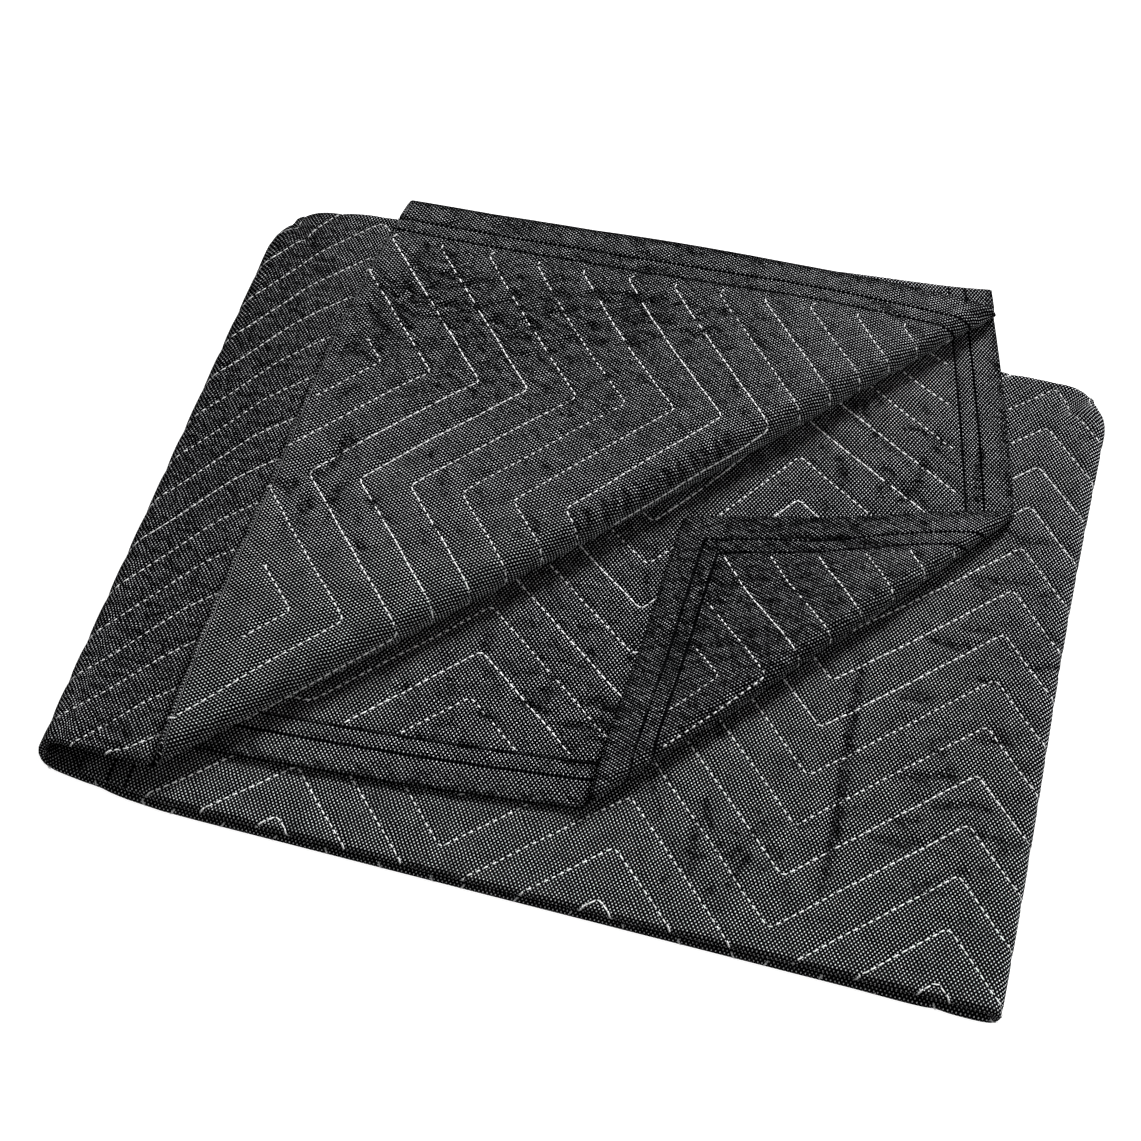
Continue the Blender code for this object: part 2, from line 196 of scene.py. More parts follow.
# Creases pressed into each part: half-width and depth in tenths of a millimetre (a ridge is negative),
# then the pixels of the view where the camera sees the crease
creases = {
    "largeCorner": (
        (45, 13, (429, 241), (417.5, 260), (407.5, 277.5)),
        (45, 12, (414, 282.5), (402.5, 300), (389, 319)),
        (40, 9, (377.5, 271), (396, 286)),
        (40, 9, (372.5, 280), (390, 297.5), (406, 301.5)),
        (45, 13, (366, 316), (386, 330), (376, 346)),
        (40, 10, (340, 348), (360, 355), (379, 364)),
        (40, 7, (357.5, 382.5), (330, 406)),
        (45, 10, (355, 422.5), (340, 452.5), (321, 480)),
        (45, 10, (345, 479), (326, 507.5)),
        (40, 9, (302.5, 475), (281, 501)),
        (40, 9, (315, 496), (301, 514)),
        (40, 9, (292.5, 490), (270, 480)),
        (35, 6, (437.5, 445), (426, 460)),
        (35, 6, (442.5, 475), (445, 500)),
        (35, 5, (397.5, 500), (415, 512.5)),
        (35, 5, (415, 530), (430, 550)),
        (35, 6, (440, 245), (452.5, 265)),
        (40, 7, (742.5, 407.5), (746, 420)),
        (40, 8, (745, 325), (765, 352.5)),
        (40, -8, (772.5, 325), (787.5, 345)),
        (40, 7, (710, 357.5), (732.5, 380), (740, 405)),
        (50, -10, (941, 322), (963, 313), (984, 306)),
        (35, 12, (944, 327), (966, 318), (986, 311)),
        (40, -10, (948, 331), (968, 323), (988, 316)),
        (45, 8, (902, 328), (930, 340)),
        (45, 8, (860, 298), (888, 308), (906, 330)),
    ),
    "smallCorner": (
        (40, 10, (688, 552), (720, 552), (752.5, 556)),
        (40, 9, (731, 511), (729, 530), (725, 547.5)),
        (45, 12, (699, 559), (696, 595), (691.5, 630)),
        (40, 8, (716, 564), (710, 587.5)),
        (40, 9, (682.5, 630), (676, 660), (671, 685)),
        (35, 8, (702.5, 566), (731, 570)),
        (35, 8, (701, 581), (726, 588)),
        (35, 7, (690, 600), (721, 604)),
        (35, 8, (665, 636), (706, 645)),
        (35, 8, (660, 651), (706, 658)),
        (35, 7, (659, 666), (691, 671)),
        (35, 8, (735, 630), (760, 636), (776, 633)),
        (35, 7, (731, 620), (745, 610), (760, 600)),
        (40, 8, (756, 564), (741, 577.5), (735, 591)),
        (35, 7, (790, 570), (820, 586)),
        (35, 7, (810, 570), (840, 571)),
        (40, 9, (775, 536), (840, 539), (907.5, 547)),
        (40, 7, (915, 550), (920, 566)),
        (35, 6, (820, 600), (840, 610)),
    ),
    "pile": (
        (45, 14, (865, 635), (860, 675), (850, 730), (844, 780), (835, 830), (825, 880), (817.5, 920)),
        (40, 8, (950, 579), (1015, 582), (1045, 586)),
        (40, 9, (1005, 539), (1032.5, 544), (1054, 542)),
        (40, 9, (917.5, 633), (947.5, 645), (981, 651)),
        (40, 8, (957.5, 628), (992.5, 633)),
        (40, 10, (887.5, 774), (927.5, 778), (966, 773)),
        (40, 11, (927.5, 808), (965, 805), (997.5, 811)),
        (35, 8, (884, 820), (932.5, 821)),
        (35, 6, (849, 807), (871, 808)),
        (40, 9, (862.5, 834), (890, 843), (932.5, 845)),
        (35, 6, (965, 740), (1022.5, 745)),
        (35, 6, (890, 695), (920, 700), (940, 695)),
        (40, 9, (752.5, 854), (740, 867.5), (729, 876)),
        (45, 10, (701, 815), (694, 845), (690, 881)),
        (35, 7, (700, 797.5), (714, 830)),
        (35, 7, (771, 837.5), (764, 856)),
        (35, 7, (786, 879), (780, 900)),
        (35, 6, (716, 721), (726, 746)),
        (35, 7, (656, 765), (651, 802.5)),
        (35, 6, (737.5, 875), (726, 890)),
        (40, 7, (1017.5, 670), (1045, 675)),
        (35, 6, (992.5, 832.5), (1005, 860)),
        (35, 6, (800, 750), (792.5, 775)),
    ),
    "leftStrip": (
        (45, 10, (100, 722), (112, 730), (134, 738)),
        (40, -8, (98, 731), (112, 740), (130, 744)),
        (40, 7, (150, 640), (176, 650)),
    ),
    "betweenCorners": (
        (40, 9, (491.5, 627.5), (485, 655)),
        (35, 6, (455, 710), (447.5, 732.5)),
        (45, 10, (592.5, 711), (615, 706), (636, 702.5)),
        (40, 9, (557.5, 731), (571, 723.5), (587.5, 728.5), (610, 721)),
        (40, 7, (555, 761), (587.5, 766), (615, 759)),
        (40, 9, (839, 450), (840, 472.5), (843.5, 492.5)),
        (45, 11, (927.5, 452.5), (916, 485), (892.5, 509)),
        (35, 6, (899, 430), (921, 427.5)),
        (35, 6, (824, 500), (830, 515)),
        (40, 8, (982.5, 437.5), (976, 475), (974, 515)),
        (35, 6, (850, 415), (865, 430)),
        (40, 8, (684, 520), (692, 536), (697, 550)),
        (35, 6, (625, 700), (610, 717.5)),
        (35, 5, (510, 660), (520, 680)),
    ),
}

# The crease along the left hem, in metres: half-width, depth and flat places
hemCrease = (0.0055, 0.0010, ((-1.311, -0.480), (-1.311, -0.800), (-1.311, -1.060)))

# Crumpled patches, in metres: face, middle of the patch, reach in x and y, direction in degrees from
# the flat x axis, number of creases, their length, half-width and depth
crumples = (
    ("outer", -1.212, -0.655, 0.036, 0.064, -98, 70, 0.018, 0.0031, 0.00100),
    ("outer", -1.218, -0.755, 0.034, 0.060, -100, 60, 0.018, 0.0031, 0.00095),
    ("outer", -1.228, -0.845, 0.026, 0.050, -104, 34, 0.016, 0.0031, 0.00080),
    ("outer", -1.135, -0.710, 0.045, 0.100, -100, 80, 0.013, 0.0031, 0.00060),
    ("outer", -1.190, -0.600, 0.070, 0.022, -40, 30, 0.020, 0.0033, 0.00095),
    ("outer", -1.000, -0.610, 0.060, 0.026, -20, 16, 0.022, 0.0033, 0.00080),
    ("outer", -1.000, -0.720, 0.055, 0.085, -60, 34, 0.014, 0.0031, 0.00060),
    ("outer", -1.215, 0.515, 0.070, 0.020, -78, 44, 0.021, 0.0031, 0.00095),
    ("outer", -1.215, 0.465, 0.045, 0.036, -85, 44, 0.015, 0.0031, 0.00080),
    ("outer", -1.292, 0.430, 0.015, 0.085, -88, 24, 0.030, 0.0032, 0.00080),
    ("outer", -1.290, -0.720, 0.014, 0.160, -98, 20, 0.030, 0.0034, 0.00055),
    ("outer", 0.105, -0.350, 0.050, 0.190, 172, 44, 0.028, 0.0033, 0.00042),
    ("outer", 0.255, -0.485, 0.055, 0.040, 110, 34, 0.015, 0.0033, 0.00060),
    ("inner", -0.975, 0.470, 0.090, 0.050, 165, 60, 0.014, 0.0033, 0.00075),
    ("inner", -1.210, 0.200, 0.055, 0.055, 120, 30, 0.016, 0.0033, 0.00070),
    ("inner", -1.010, 0.330, 0.100, 0.080, 140, 50, 0.014, 0.0033, 0.00055),
)

# Short puckers in a row along a stitched line of the large corner: ends of the row, direction in
# degrees, number, length, half-width and depth
puckers = ((-1.006, -0.793), (-1.113, -0.890), -30, 13, 0.020, 0.0028, 0.00130)

# Places where the pale dots are painted dimmer, the one beside the left fold as painted shade where the strip
# slopes down away from the light, the others as dimmer patches: face, middle, reach in x and y, share of the
# pale threads lost
dimmedPlaces = (
    ("outer", -1.190, -0.720, 0.150, 0.280, 0.36),
    ("outer", -1.200, 0.480, 0.220, 0.170, 0.52),
    ("outer", -0.690, -0.130, 0.068, 0.600, 0.58),
    ("inner", -1.050, 0.360, 0.300, 0.300, 0.18),
)

# How creases vary, what they look like across and along, and how strongly painted shade darkens the creases,
# the hem rows and the edges
creaseShape = {
    "seed": 23,
    "sampleStep": 0.0015,  # between the flat places that are looked at
    "scale": 1.25,
    "reach": 3,
    "lip": 0.6,  # raised rim beside a crease
    "fade": (-0.02, 0.30),  # share of the length over which an end runs out
    "crumpleTurn": 20.0,
    "crumpleLength": (0.6, 1.4),
    "crumpleDepth": (0.4, 1.3),
    "crumpleBow": 0.25,
    "puckerShift": (-0.2, 0.2),
    "puckerTurn": 8.0,
    "puckerLength": (0.8, 1.2),
    "puckerDepth": (0.7, 1.2),
    "shadeDepth": 0.0011,
    "shadeEdgeReach": 0.0045,
    "edgeShadeShare": 0.9,
    "hemShadeShare": 0.3,
}


# Columns where the zigzags turn: their x, and whether the lines turn at their high or low side
def turningColumns():
    places, heights = [cloth["crestStart"]], [1.0]
    while places[-1] < clothRight:
        places.append(places[-1] + cloth["halfWave"]["right"])
        heights.append(1.0 - heights[-1])
    while places[0] > clothLeft:
        side = "left" if places[0] < panelLeft else "middle"
        places.insert(0, places[0] - cloth["halfWave"][side])
        heights.insert(0, 1.0 - heights[0])
    return np.array(places), np.array(heights)


columnPlaces, columnHeights = turningColumns()


# One table of turns for the evenly quilted cloth, with the extra turn beside the left fold
def evenTurns():
    rows = [sideFoldTurn]
    for place, height in zip(columnPlaces, columnHeights):
        rows.append((place, cloth["waveHeight"] * (height - 1.0), lineSpacing))
    return {"line": 0, "start": 0.0, "turns": tuple(sorted(rows))}


evenQuilting = evenTurns()


def easeBetween(value, low, high):
    t = np.clip((value - low) / (high - low), 0.0, 1.0)
    return t * t * (3.0 - 2.0 * t)


# Counts the stitched lines up the cloth: whole numbers lie on a line
def linesCounted(x, y, quilting):
    places, heights, spacings = np.array(quilting["turns"]).T
    near = cloth["turnRadius"]
    count = 0.0
    for shift, weight in ((-near, 0.25), (0.0, 0.5), (near, 0.25)):  # rounds the turns
        place = x + shift - quilting["start"]
        height = np.interp(place, places, heights)
        count = count + weight * (y - height) / np.interp(place, places, spacings)
    return count + quilting["line"]


# The same count with the uneven quilting of the left third, and the slight waver of every line
def quiltPhase(x, y):
    phase = linesCounted(x, y, evenQuilting)
    inLeft = easeBetween(panelLeft - x, *quiltChange["leftFold"])
    frontFold = frontEdge - frontArc / 2
    backFold = backEdge + backArc / 2
    beyond = distanceBeyond(laidPlaces(x, y, np.zeros_like(x)), lowerCorner)
    shares = {"tucked": inLeft * easeBetween(frontFold - y, *quiltChange["frontFold"])}
    shares["loose"] = inLeft * easeBetween(y - backFold, *quiltChange["backFold"])
    shares["corner"] = shares["loose"] * easeBetween(beyond, *quiltChange["cornerFold"])
    for name, share in shares.items():
        phase = phase + share * (linesCounted(x, y, unevenQuilting[name]) - phase)
    waver = sum(share * np.sin(x * a + y * b + shift) for share, a, b, shift in cloth["waverWaves"])
    return phase - cloth["waver"] * waver / lineSpacing


# Flat distance in from the nearest edge of the cloth
def edgeDistance(x, y):
    side = np.minimum(x - clothLeft, clothRight - x)
    end = np.minimum(y - clothFront, clothBack - y)
    return np.minimum(side, end)


# How deep the creases press at each place
def creaseDepth(x, y, side):
    depth = np.zeros_like(x)
    for width, deep, places in creaseRows[side]:
        points = np.array(places)
        reach = creaseShape["reach"] * width
        low, high = points.min(axis=0) - reach, points.max(axis=0) + reach
        near = np.flatnonzero((x > low[0]) & (x < high[0]) & (y > low[1]) & (y < high[1]))
        if not len(near):
            continue
        lengths = np.linalg.norm(np.diff(points, axis=0), axis=1)
        total, before = lengths.sum(), 0.0
        closest, travelled = np.full(len(near), np.inf), np.zeros(len(near))
        for start, end, length in zip(points, points[1:], lengths):
            along = (end - start) / length
            offX, offY = x[near] - start[0], y[near] - start[1]
            run = np.clip(offX * along[0] + offY * along[1], 0.0, length)
            away = np.hypot(offX - run * along[0], offY - run * along[1])
            nearer = away < closest
            closest = np.where(nearer, away, closest)
            travelled = np.where(nearer, before + run, travelled)
            before += length
        share = travelled / total
        fade = easeBetween(np.minimum(share, 1.0 - share), *creaseShape["fade"])
        off = (closest / width) ** 2
        depth[near] += deep * fade * (1.0 - creaseShape["lip"] * off) * np.exp(-off)
    return depth * creaseShape["scale"]


# One along the two sewn rows of the hem, nothing beside them
def hemGroove(inside):
    first, second = [np.exp(-((inside - row) / cloth["grooveWidth"]) ** 2) for row in hemRows]
    return first + second


# Share of the pale threads painted dimmer at each place, as painted shade beside the left fold
def dotDimming(x, y, side):
    dimming = np.zeros_like(x)
    for face, middleX, middleY, reachX, reachY, share in dimmedPlaces:
        if face == side:
            dimming = dimming + share * np.exp(-((x - middleX) / reachX) ** 2 - ((y - middleY) / reachY) ** 2)
    return dimming


# Painted shade at each place, from 0 to 1: darkest in the creases, along the hem rows and at the edge, and in
# the dimmed places
def paintedShadeShare(x, y, side):
    inside = edgeDistance(x, y)
    # painted shade: the dots darken where creases are deep, where the hem rows sink and where the edges curl
    # down
    paintedShade = 1.0 - np.exp(-np.maximum(creaseDepth(x, y, side), 0.0) / creaseShape["shadeDepth"])
    paintedShade = paintedShade + creaseShape["hemShadeShare"] * hemGroove(inside)
    paintedShade = paintedShade + creaseShape["edgeShadeShare"] * np.exp(-inside / creaseShape["shadeEdgeReach"])
    return 1.0 - np.clip(1.0 - paintedShade, 0.0, 1.0) * (1.0 - dotDimming(x, y, side))


# How far each face of the cloth stands out from its plain thickness
def faceRelief(x, y, side):
    phase = quiltPhase(x, y)
    off = 2.0 * np.abs(phase - np.round(phase))
    rise = cloth["puff"] + cloth["pinch"]
    relief = cloth["puff"] - rise * (1.0 - off) ** 3
    inside = edgeDistance(x, y)
    hemEnd = hemRows[1]
    quilted = easeBetween(inside, hemEnd, hemEnd + cloth["hemEase"])
    hem = cloth["hemRise"] - cloth["grooveDepth"] * hemGroove(inside)
    relief = quilted * relief + (1.0 - quilted) * hem
    rim = np.clip(1.0 - inside / edgeRound, 0.0, 1.0)
    under = (x < panelRight) & (x > leftLine[0]) & (y > frontEdge)
    relief = np.where(under & (y < backEdge), np.minimum(relief, 0.0), relief)
    return relief - cloth["edgeDrop"] * rim ** 2 - creaseDepth(x, y, side)


def pastLine(points, line, outward):
    return (points[:, 0] - line[0]) * outward[0] + (points[:, 1] - line[1]) * outward[1]


# Bends the chosen cloth up through a half turn: past the bend it runs back over the flat way given
def bendBack(points, chosen, beyond, outward, axisHeight, arc, angle, flatRun, drop):
    turning = beyond < arc
    radius = axisHeight - points[:, 2]
    moved = np.where(turning, radius * np.sin(angle), flatRun)
    height = np.where(turning, axisHeight - radius * np.cos(angle), 2 * axisHeight - points[:, 2] - drop)
    picked = chosen & (beyond > 0.0)
    shift = np.where(picked, moved - beyond, 0.0)
    points[:, :2] += shift[:, None] * np.array(outward)
    points[:, 2] = np.where(picked, height, points[:, 2])


# Folds what lies outward of a line up and back over the rest
def foldOver(points, line, outward, axisHeight, arc):
    beyond = pastLine(points, line, outward)
    angle = np.clip(beyond, 0.0, arc) * math.pi / arc
    bendBack(points, True, beyond, outward, axisHeight, arc, angle, arc - beyond, 0.0)


# The left third lies at a growing angle to the rest of the pile
def swingLeftPanel(points, chosen):
    turn = 2 * folds["leftTilt"]
    along = np.array([math.cos(turn), math.sin(turn)])
    across = np.array([-math.sin(turn), math.cos(turn)])
    start = np.array(leftLine)
    bend = folds["leftWidth"] / folds["leftSpread"]  # radius of the sweep, about a point far behind
    offset = points[:, :2] - start
    run = offset @ along
    side = offset @ across
    picked = chosen & (run > 0.0)
    depth = backEdge - frontEdge
    reach, span = folds["leftDip"]
    nearHem = easeBetween(run, folds["leftWidth"] - span, folds["leftWidth"])
    side = side - reach * nearHem * easeBetween(side, 0.0, depth / 2)
    run = run * (1.0 + folds["hemBow"] * (1.0 - (2 * side / depth) ** 2))
    angle = run / bend
    newRun = (bend - side) * np.sin(angle)
    newSide = bend - (bend - side) * np.cos(angle)
    place = start + newRun[:, None] * along + newSide[:, None] * across
    points[:, :2] = np.where(picked[:, None], place, points[:, :2])


# Start of a corner's fold line, the direction along it and the one towards the corner's tip
def cornerFrame(corner):
    start = np.array(corner["start"])
    along = np.array(corner["end"]) - start
    along = along / np.linalg.norm(along)
    return start, along, np.array([along[1], -along[0]])


def distanceBeyond(points, corner):
    start, along, outward = cornerFrame(corner)
    return (points[:, :2] - start) @ outward


# Mean radius of a corner's roll and height of its axis, beside each point
def rollShape(points, corner, lowest, stackHeight):
    start, along, outward = cornerFrame(corner)
    table = np.array(corner["radius"])
    meanRadius = np.interp((points[:, :2] - start) @ along, table[:, 0], table[:, 1])
    flattest = lowest + stackHeight + (layerGap + corner["air"]) / 2
    return meanRadius, np.maximum(lowest + stackHeight / 2 + meanRadius, flattest), flattest


# A loose corner rolls back over itself and settles on what lies under it
def turnBack(points, corner, chosen, lowest, stackHeight):
    start, along, outward = cornerFrame(corner)
    offset = points[:, :2] - start
    beyond = offset @ outward
    meanRadius, axisHeight, flattest = rollShape(points, corner, lowest, stackHeight)
    arc = math.pi * meanRadius
    angle = np.clip(beyond, 0.0, arc) / meanRadius
    past = beyond - arc
    drop = 2 * (axisHeight - flattest) * easeBetween(past, 0.0, corner["settle"])
    gathers = np.array(corner["gather"])
    gather = np.interp(offset @ along, gathers[:, 0], gathers[:, 1])
    bendBack(points, chosen, beyond, outward, axisHeight, arc, angle, -past * gather, drop)


# Draws a square corner of the pile in to a round one
def roundCorner(points, corner, inward, radius):
    centreX = corner[0] + inward[0] * radius
    centreY = corner[1] + inward[1] * radius
    dx = (centreX - points[:, 0]) * inward[0]
    dy = (centreY - points[:, 1]) * inward[1]
    picked = (dx > 0.0) & (dy > 0.0)
    shrink = np.maximum(dx, dy) / np.maximum(np.hypot(dx, dy), 1e-9)  # never divides by nothing
    points[:, 0] = np.where(picked, centreX - inward[0] * dx * shrink, points[:, 0])
    points[:, 1] = np.where(picked, centreY - inward[1] * dy * shrink, points[:, 1])


# Takes flat cloth places and heights to the folded pile before its corners are turned back
def laidPlaces(x, y, height):
    points = np.stack([x, y, height], axis=1).astype(float)
    foldOver(points, (0, frontEdge), (0, -1), frontAxis, frontArc)
    foldOver(points, (0, backEdge), (0, 1), backAxis, backArc)
    foldOver(points, (rightLine, 0), (1, 0), rightAxis, rightArc)
    outward = (-math.cos(folds["leftTilt"]), -math.sin(folds["leftTilt"]))
    points[:, 1] += folds["leftRise"] * easeBetween(pastLine(points, leftLine, outward), 0.0, leftArc)
    foldOver(points, leftLine, outward, leftAxis, leftArc)
    swingLeftPanel(points, x < panelLeft + folds["leftMargin"])
    return points


# Each turned-back corner with the places it takes along, and the stack of layers it is made of
def turnedCorners(x, y):
    bottom = 2 * leftAxis - packet
    isTop = (x < panelLeft) & (y < backEdge)
    isLower = (x < panelLeft) & (y > backEdge + backArc)
    yield topCorner, isTop, bottom + layerStep, layerStep + thickness
    yield lowerCorner, isLower, bottom, thickness


# Takes flat cloth places and heights all the way to the finished pile
def foldedPlaces(x, y, height):
    points = laidPlaces(x, y, height)
    for corner, chosen, lowest, stackHeight in turnedCorners(x, y):
        turnBack(points, corner, chosen, lowest, stackHeight)
    return settledPlaces(points)


# How much longer the outside of a bend is than its middle layer
def bendStretch(beyond, axisHeight, arc):
    return (math.pi * axisHeight - arc) * np.clip(beyond / arc, 0.0, 1.0)


# Places in the weave: the flat ones, spread out where a face runs round the outside of a bend
def wovenPlaces(x, y, side):
    u, v = x.copy(), y.copy()
    height = np.full_like(x, 0.0 if side == "outer" else thickness)
    if side == "outer":
        u += bendStretch(x - rightLine, rightAxis, rightArc)
        u -= bendStretch(leftLine[0] - x, leftAxis, leftArc)
        v -= bendStretch(frontEdge - y, frontAxis, frontArc)
        v += bendStretch(y - backEdge, backAxis, backArc)
    laid = laidPlaces(x, y, height)
    near = 0.0005  # the slope is read over this step
    for corner, chosen, lowest, stackHeight in turnedCorners(x, y):
        beyond = distanceBeyond(laid, corner)
        riseX = (distanceBeyond(laidPlaces(x + near, y, height), corner) - beyond) / near
        riseY = (distanceBeyond(laidPlaces(x, y + near, height), corner) - beyond) / near
        meanRadius, axisHeight, flattest = rollShape(laid, corner, lowest, stackHeight)
        stretch = (axisHeight - laid[:, 2]) / meanRadius - 1.0
        spread = np.where(chosen, stretch * np.clip(beyond, 0.0, math.pi * meanRadius), 0.0)
        u += riseX * spread
        v += riseY * spread
    return np.stack([u, v], axis=1)


def shareToBack(points):
    return (points[:, 1] - frontEdge) / (backEdge - frontEdge)


# The soft shape of the whole pile
def settledPlaces(points):
    middle = (leftLine[0] + rightLine) / 2
    width = rightLine - leftLine[0]
    swell = -np.cos(2 * math.pi * (points[:, 0] - middle) / width)
    loft = folds["loft"]
    fade = 1.0 + (loft["back"] - 1.0) * shareToBack(points)
    points[:, 2] *= loft["middle"] + loft["swell"] * swell * fade
    slope = math.tan(folds["leftTilt"])
    leftSide = leftLine[0] - leftAxis - slope * (points[:, 1] - leftLine[1])
    drop, span = folds["leftSlope"]
    points[:, 2] *= 1.0 - drop * (1.0 - easeBetween(points[:, 0] - leftSide, 0.0, span))
    leftBack = leftLine[0] - leftAxis - slope * (backEdge - leftLine[1])
    backSide = backEdge + backAxis
    rounding = folds["cornerRound"]
    roundCorner(points, (leftBack, backSide + folds["leftRise"]), (1, -1), rounding["left"])
    rightSide = rightLine + rightAxis
    roundCorner(points, (rightSide, backSide), (-1, -1), rounding["right"])
    hollow = folds["rightHollow"]
    nearSide = easeBetween(1.0 - (rightSide - points[:, 0]) / hollow["span"], 0.0, 1.0)
    offMiddle = np.abs(shareToBack(points) - hollow["middle"]) / hollow["half"]
    points[:, 0] -= hollow["reach"] * nearSide * easeBetween(1.0 - offMiddle, 0.0, 1.0)
    reach, span = folds["frontSweep"]
    toSide = 1.0 - (points[:, 0] - leftLine[0] + leftAxis) / span
    toFront = 1.0 - (points[:, 1] - frontEdge) / span
    points[:, 1] += reach * easeBetween(toSide, 0.0, 1.0) * easeBetween(toFront, 0.0, 1.0)
    points[:, 1] += folds["pileSlant"] * points[:, 0]
    points[:, 0] -= folds["pileCentre"][0]
    points[:, 1] -= folds["pileCentre"][1]
    return points


# Flat places all over a part, and the pixels across and down at which the camera sees each of them
def placesSeen(part):
    side, limitsX, limitsY, corner, (nearest, farthest) = partsSeen[part]
    step = creaseShape["sampleStep"]
    x, y = np.meshgrid(np.arange(*limitsX, step), np.arange(*limitsY, step), indexing="ij")
    x, y = x.ravel(), y.ravel()
    height = np.full_like(x, thickness if side == "inner" else 0.0)
    beyond = distanceBeyond(laidPlaces(x, y, height), corner)
    kept = (beyond > nearest) & (beyond < farthest)
    turn = np.array(Euler([math.radians(a) for a in view["turn"]]).to_matrix())
    across, up, behind = ((foldedPlaces(x, y, height)[kept] - view["place"]) @ turn).T
    scale = view["pixels"] * view["lens"] / view["sensor"] / behind
    middle = view["pixels"] / 2
    return x[kept], y[kept], middle - scale * across, middle + scale * up


# The creases of one part in metres, each point at the flat place seen nearest to it
def laidCreases(part):
    x, y, seenX, seenY = placesSeen(part)
    for width, depth, *places in creases[part]:
        flat = []
        for placeX, placeY in places:
            nearest = np.argmin((seenX - placeX) ** 2 + (seenY - placeY) ** 2)
            flat.append((round(x[nearest], 3), round(y[nearest], 3)))  # to the millimetre
        yield width / 10000, depth / 10000, flat


# All creases of each face in metres: those seen, the crumpled patches and the row of puckers
def creaseTable():
    rng = np.random.default_rng(creaseShape["seed"])
    table = {"outer": [], "inner": []}
    for part in creases:
        table[partsSeen[part][0]] += laidCreases(part)
    table["outer"].append(hemCrease)
    for side, middleX, middleY, reachX, reachY, direction, count, length, width, depth in crumples:
        for i in range(count):
            angle = math.radians(direction + rng.normal(0.0, creaseShape["crumpleTurn"]))
            x = middleX + reachX * rng.uniform(-1.0, 1.0)
            y = middleY + reachY * rng.uniform(-1.0, 1.0)
            half = 0.5 * length * rng.uniform(*creaseShape["crumpleLength"])
            bow = creaseShape["crumpleBow"] * half * rng.normal()
            runX, runY = half * math.cos(angle), half * math.sin(angle)
            middle = (x - bow * math.sin(angle), y + bow * math.cos(angle))
            places = ((x - runX, y - runY), middle, (x + runX, y + runY))
            table[side].append((width, depth * rng.uniform(*creaseShape["crumpleDepth"]), places))
    (startX, startY), (endX, endY), direction, count, length, width, depth = puckers
    for i in range(count):
        share = (i + rng.uniform(*creaseShape["puckerShift"])) / (count - 1)
        x, y = startX + share * (endX - startX), startY + share * (endY - startY)
        angle = math.radians(direction + rng.normal(0.0, creaseShape["puckerTurn"]))
        run = length * rng.uniform(*creaseShape["puckerLength"])
        places = ((x, y), (x + run * math.cos(angle), y + run * math.sin(angle)))
        table["outer"].append((width, depth * rng.uniform(*creaseShape["puckerDepth"]), places))
    return table


creaseRows = creaseTable()


# The cloth's grid: cells round each fold, lines beside the hem rows, steps in cells, and how far past
# each fold line or corner line a face is in view or bends
gridding = {
    "rightFoldCells": 8,
    "leftFoldCells": 16,
    "endFoldCells": 6,
    "besideLeftFold": 0.012,
    "besideRow": 0.0015,
    "closest": 0.0009,
    "bendStep": 2,
    "hiddenStep": 8,
    "topBend": (-0.015, 0.060),
    "lowerBend": (-0.015, 0.045),
    "leftBend": 0.06,
    "rightBend": 0.055,
    "shown": {
        "layer": 0.004,
        "left": folds["leftMargin"],
        "body": (-0.03, 0.40),
        "front": 0.15,
        "strip": (-0.18, 0.03),
        "flapFront": 0.01,
        "flap": -0.035,
        "smallFlap": -0.035,
        "inner": (-0.06, 0.03),
    },
}


# Grid lines over the flat cloth: regular ones, and fixed ones at folds, hems and edges
def gridLines(regular, fixed):
    fixed = sorted(fixed)
    regular = np.array([r for r in regular if fixed[0] < r < fixed[-1]])
    far = np.min(np.abs(regular[:, None] - np.array(fixed)[None, :]), axis=1) > gridding["closest"]
    lines = np.sort(np.concatenate([regular[far], fixed]))
    return lines, np.isin(lines, fixed)


# Even places from a start over a reach, both ends included
def spacedPlaces(start, reach, cells):
    return [start + reach * i / cells for i in range(cells + 1)]


# An edge, its rounding and the lines beside each hem row
def hemPlaces(edge, inward):
    besideRow = gridding["besideRow"]
    places = [edge, edge + inward * edgeRound]
    for row in hemRows:
        places += [edge + inward * row + side for side in (-besideRow, 0.0, besideRow)]
    return places


def acrossLines():
    regular = []
    for x0, x1 in zip(columnPlaces, columnPlaces[1:]):
        regular += list(np.linspace(x0, x1, cloth["cellsPerWave"] + 1)[:-1])
    margin = gridding["besideLeftFold"]
    fixed = hemPlaces(clothLeft, 1) + [clothRight - edgeRound, clothRight]
    fixed += spacedPlaces(rightLine, rightArc, gridding["rightFoldCells"])
    fixed += spacedPlaces(panelLeft - margin, leftArc + 2 * margin, gridding["leftFoldCells"])
    return gridLines(regular, fixed)


def downLines():
    step = lineSpacing / cloth["cellsPerLine"]
    regular = [i * step for i in range(math.floor(clothFront / step), math.ceil(clothBack / step))]
    fixed = hemPlaces(clothBack, -1) + [clothFront, clothFront + edgeRound]
    fixed += spacedPlaces(frontEdge, -frontArc, gridding["endFoldCells"])
    fixed += spacedPlaces(backEdge, backArc, gridding["endFoldCells"])
    return gridLines(regular, fixed)


# Runs of cells that share one fineness, broken at the fixed lines
def gridRuns(hard):
    runs, start = [], 0
    for i in range(1, len(hard)):
        if hard[i] or i - start == gridding["hiddenStep"]:
            runs.append((start, i))
            start = i
    return runs


# How far flat places lie beyond the fold lines of the two turned-back corners
def beyondCorners(x, y):
    laid = laidPlaces(x, y, np.zeros_like(x))
    return distanceBeyond(laid, topCorner), distanceBeyond(laid, lowerCorner)


def isBetween(value, limits):
    return (value > limits[0]) & (value < limits[1])


# The y limits of the layer between the front and the back fold, with a margin beyond the two bends
def layerLimits(margins):
    return frontEdge - frontArc - margins["layer"], backEdge + backArc + margins["layer"]


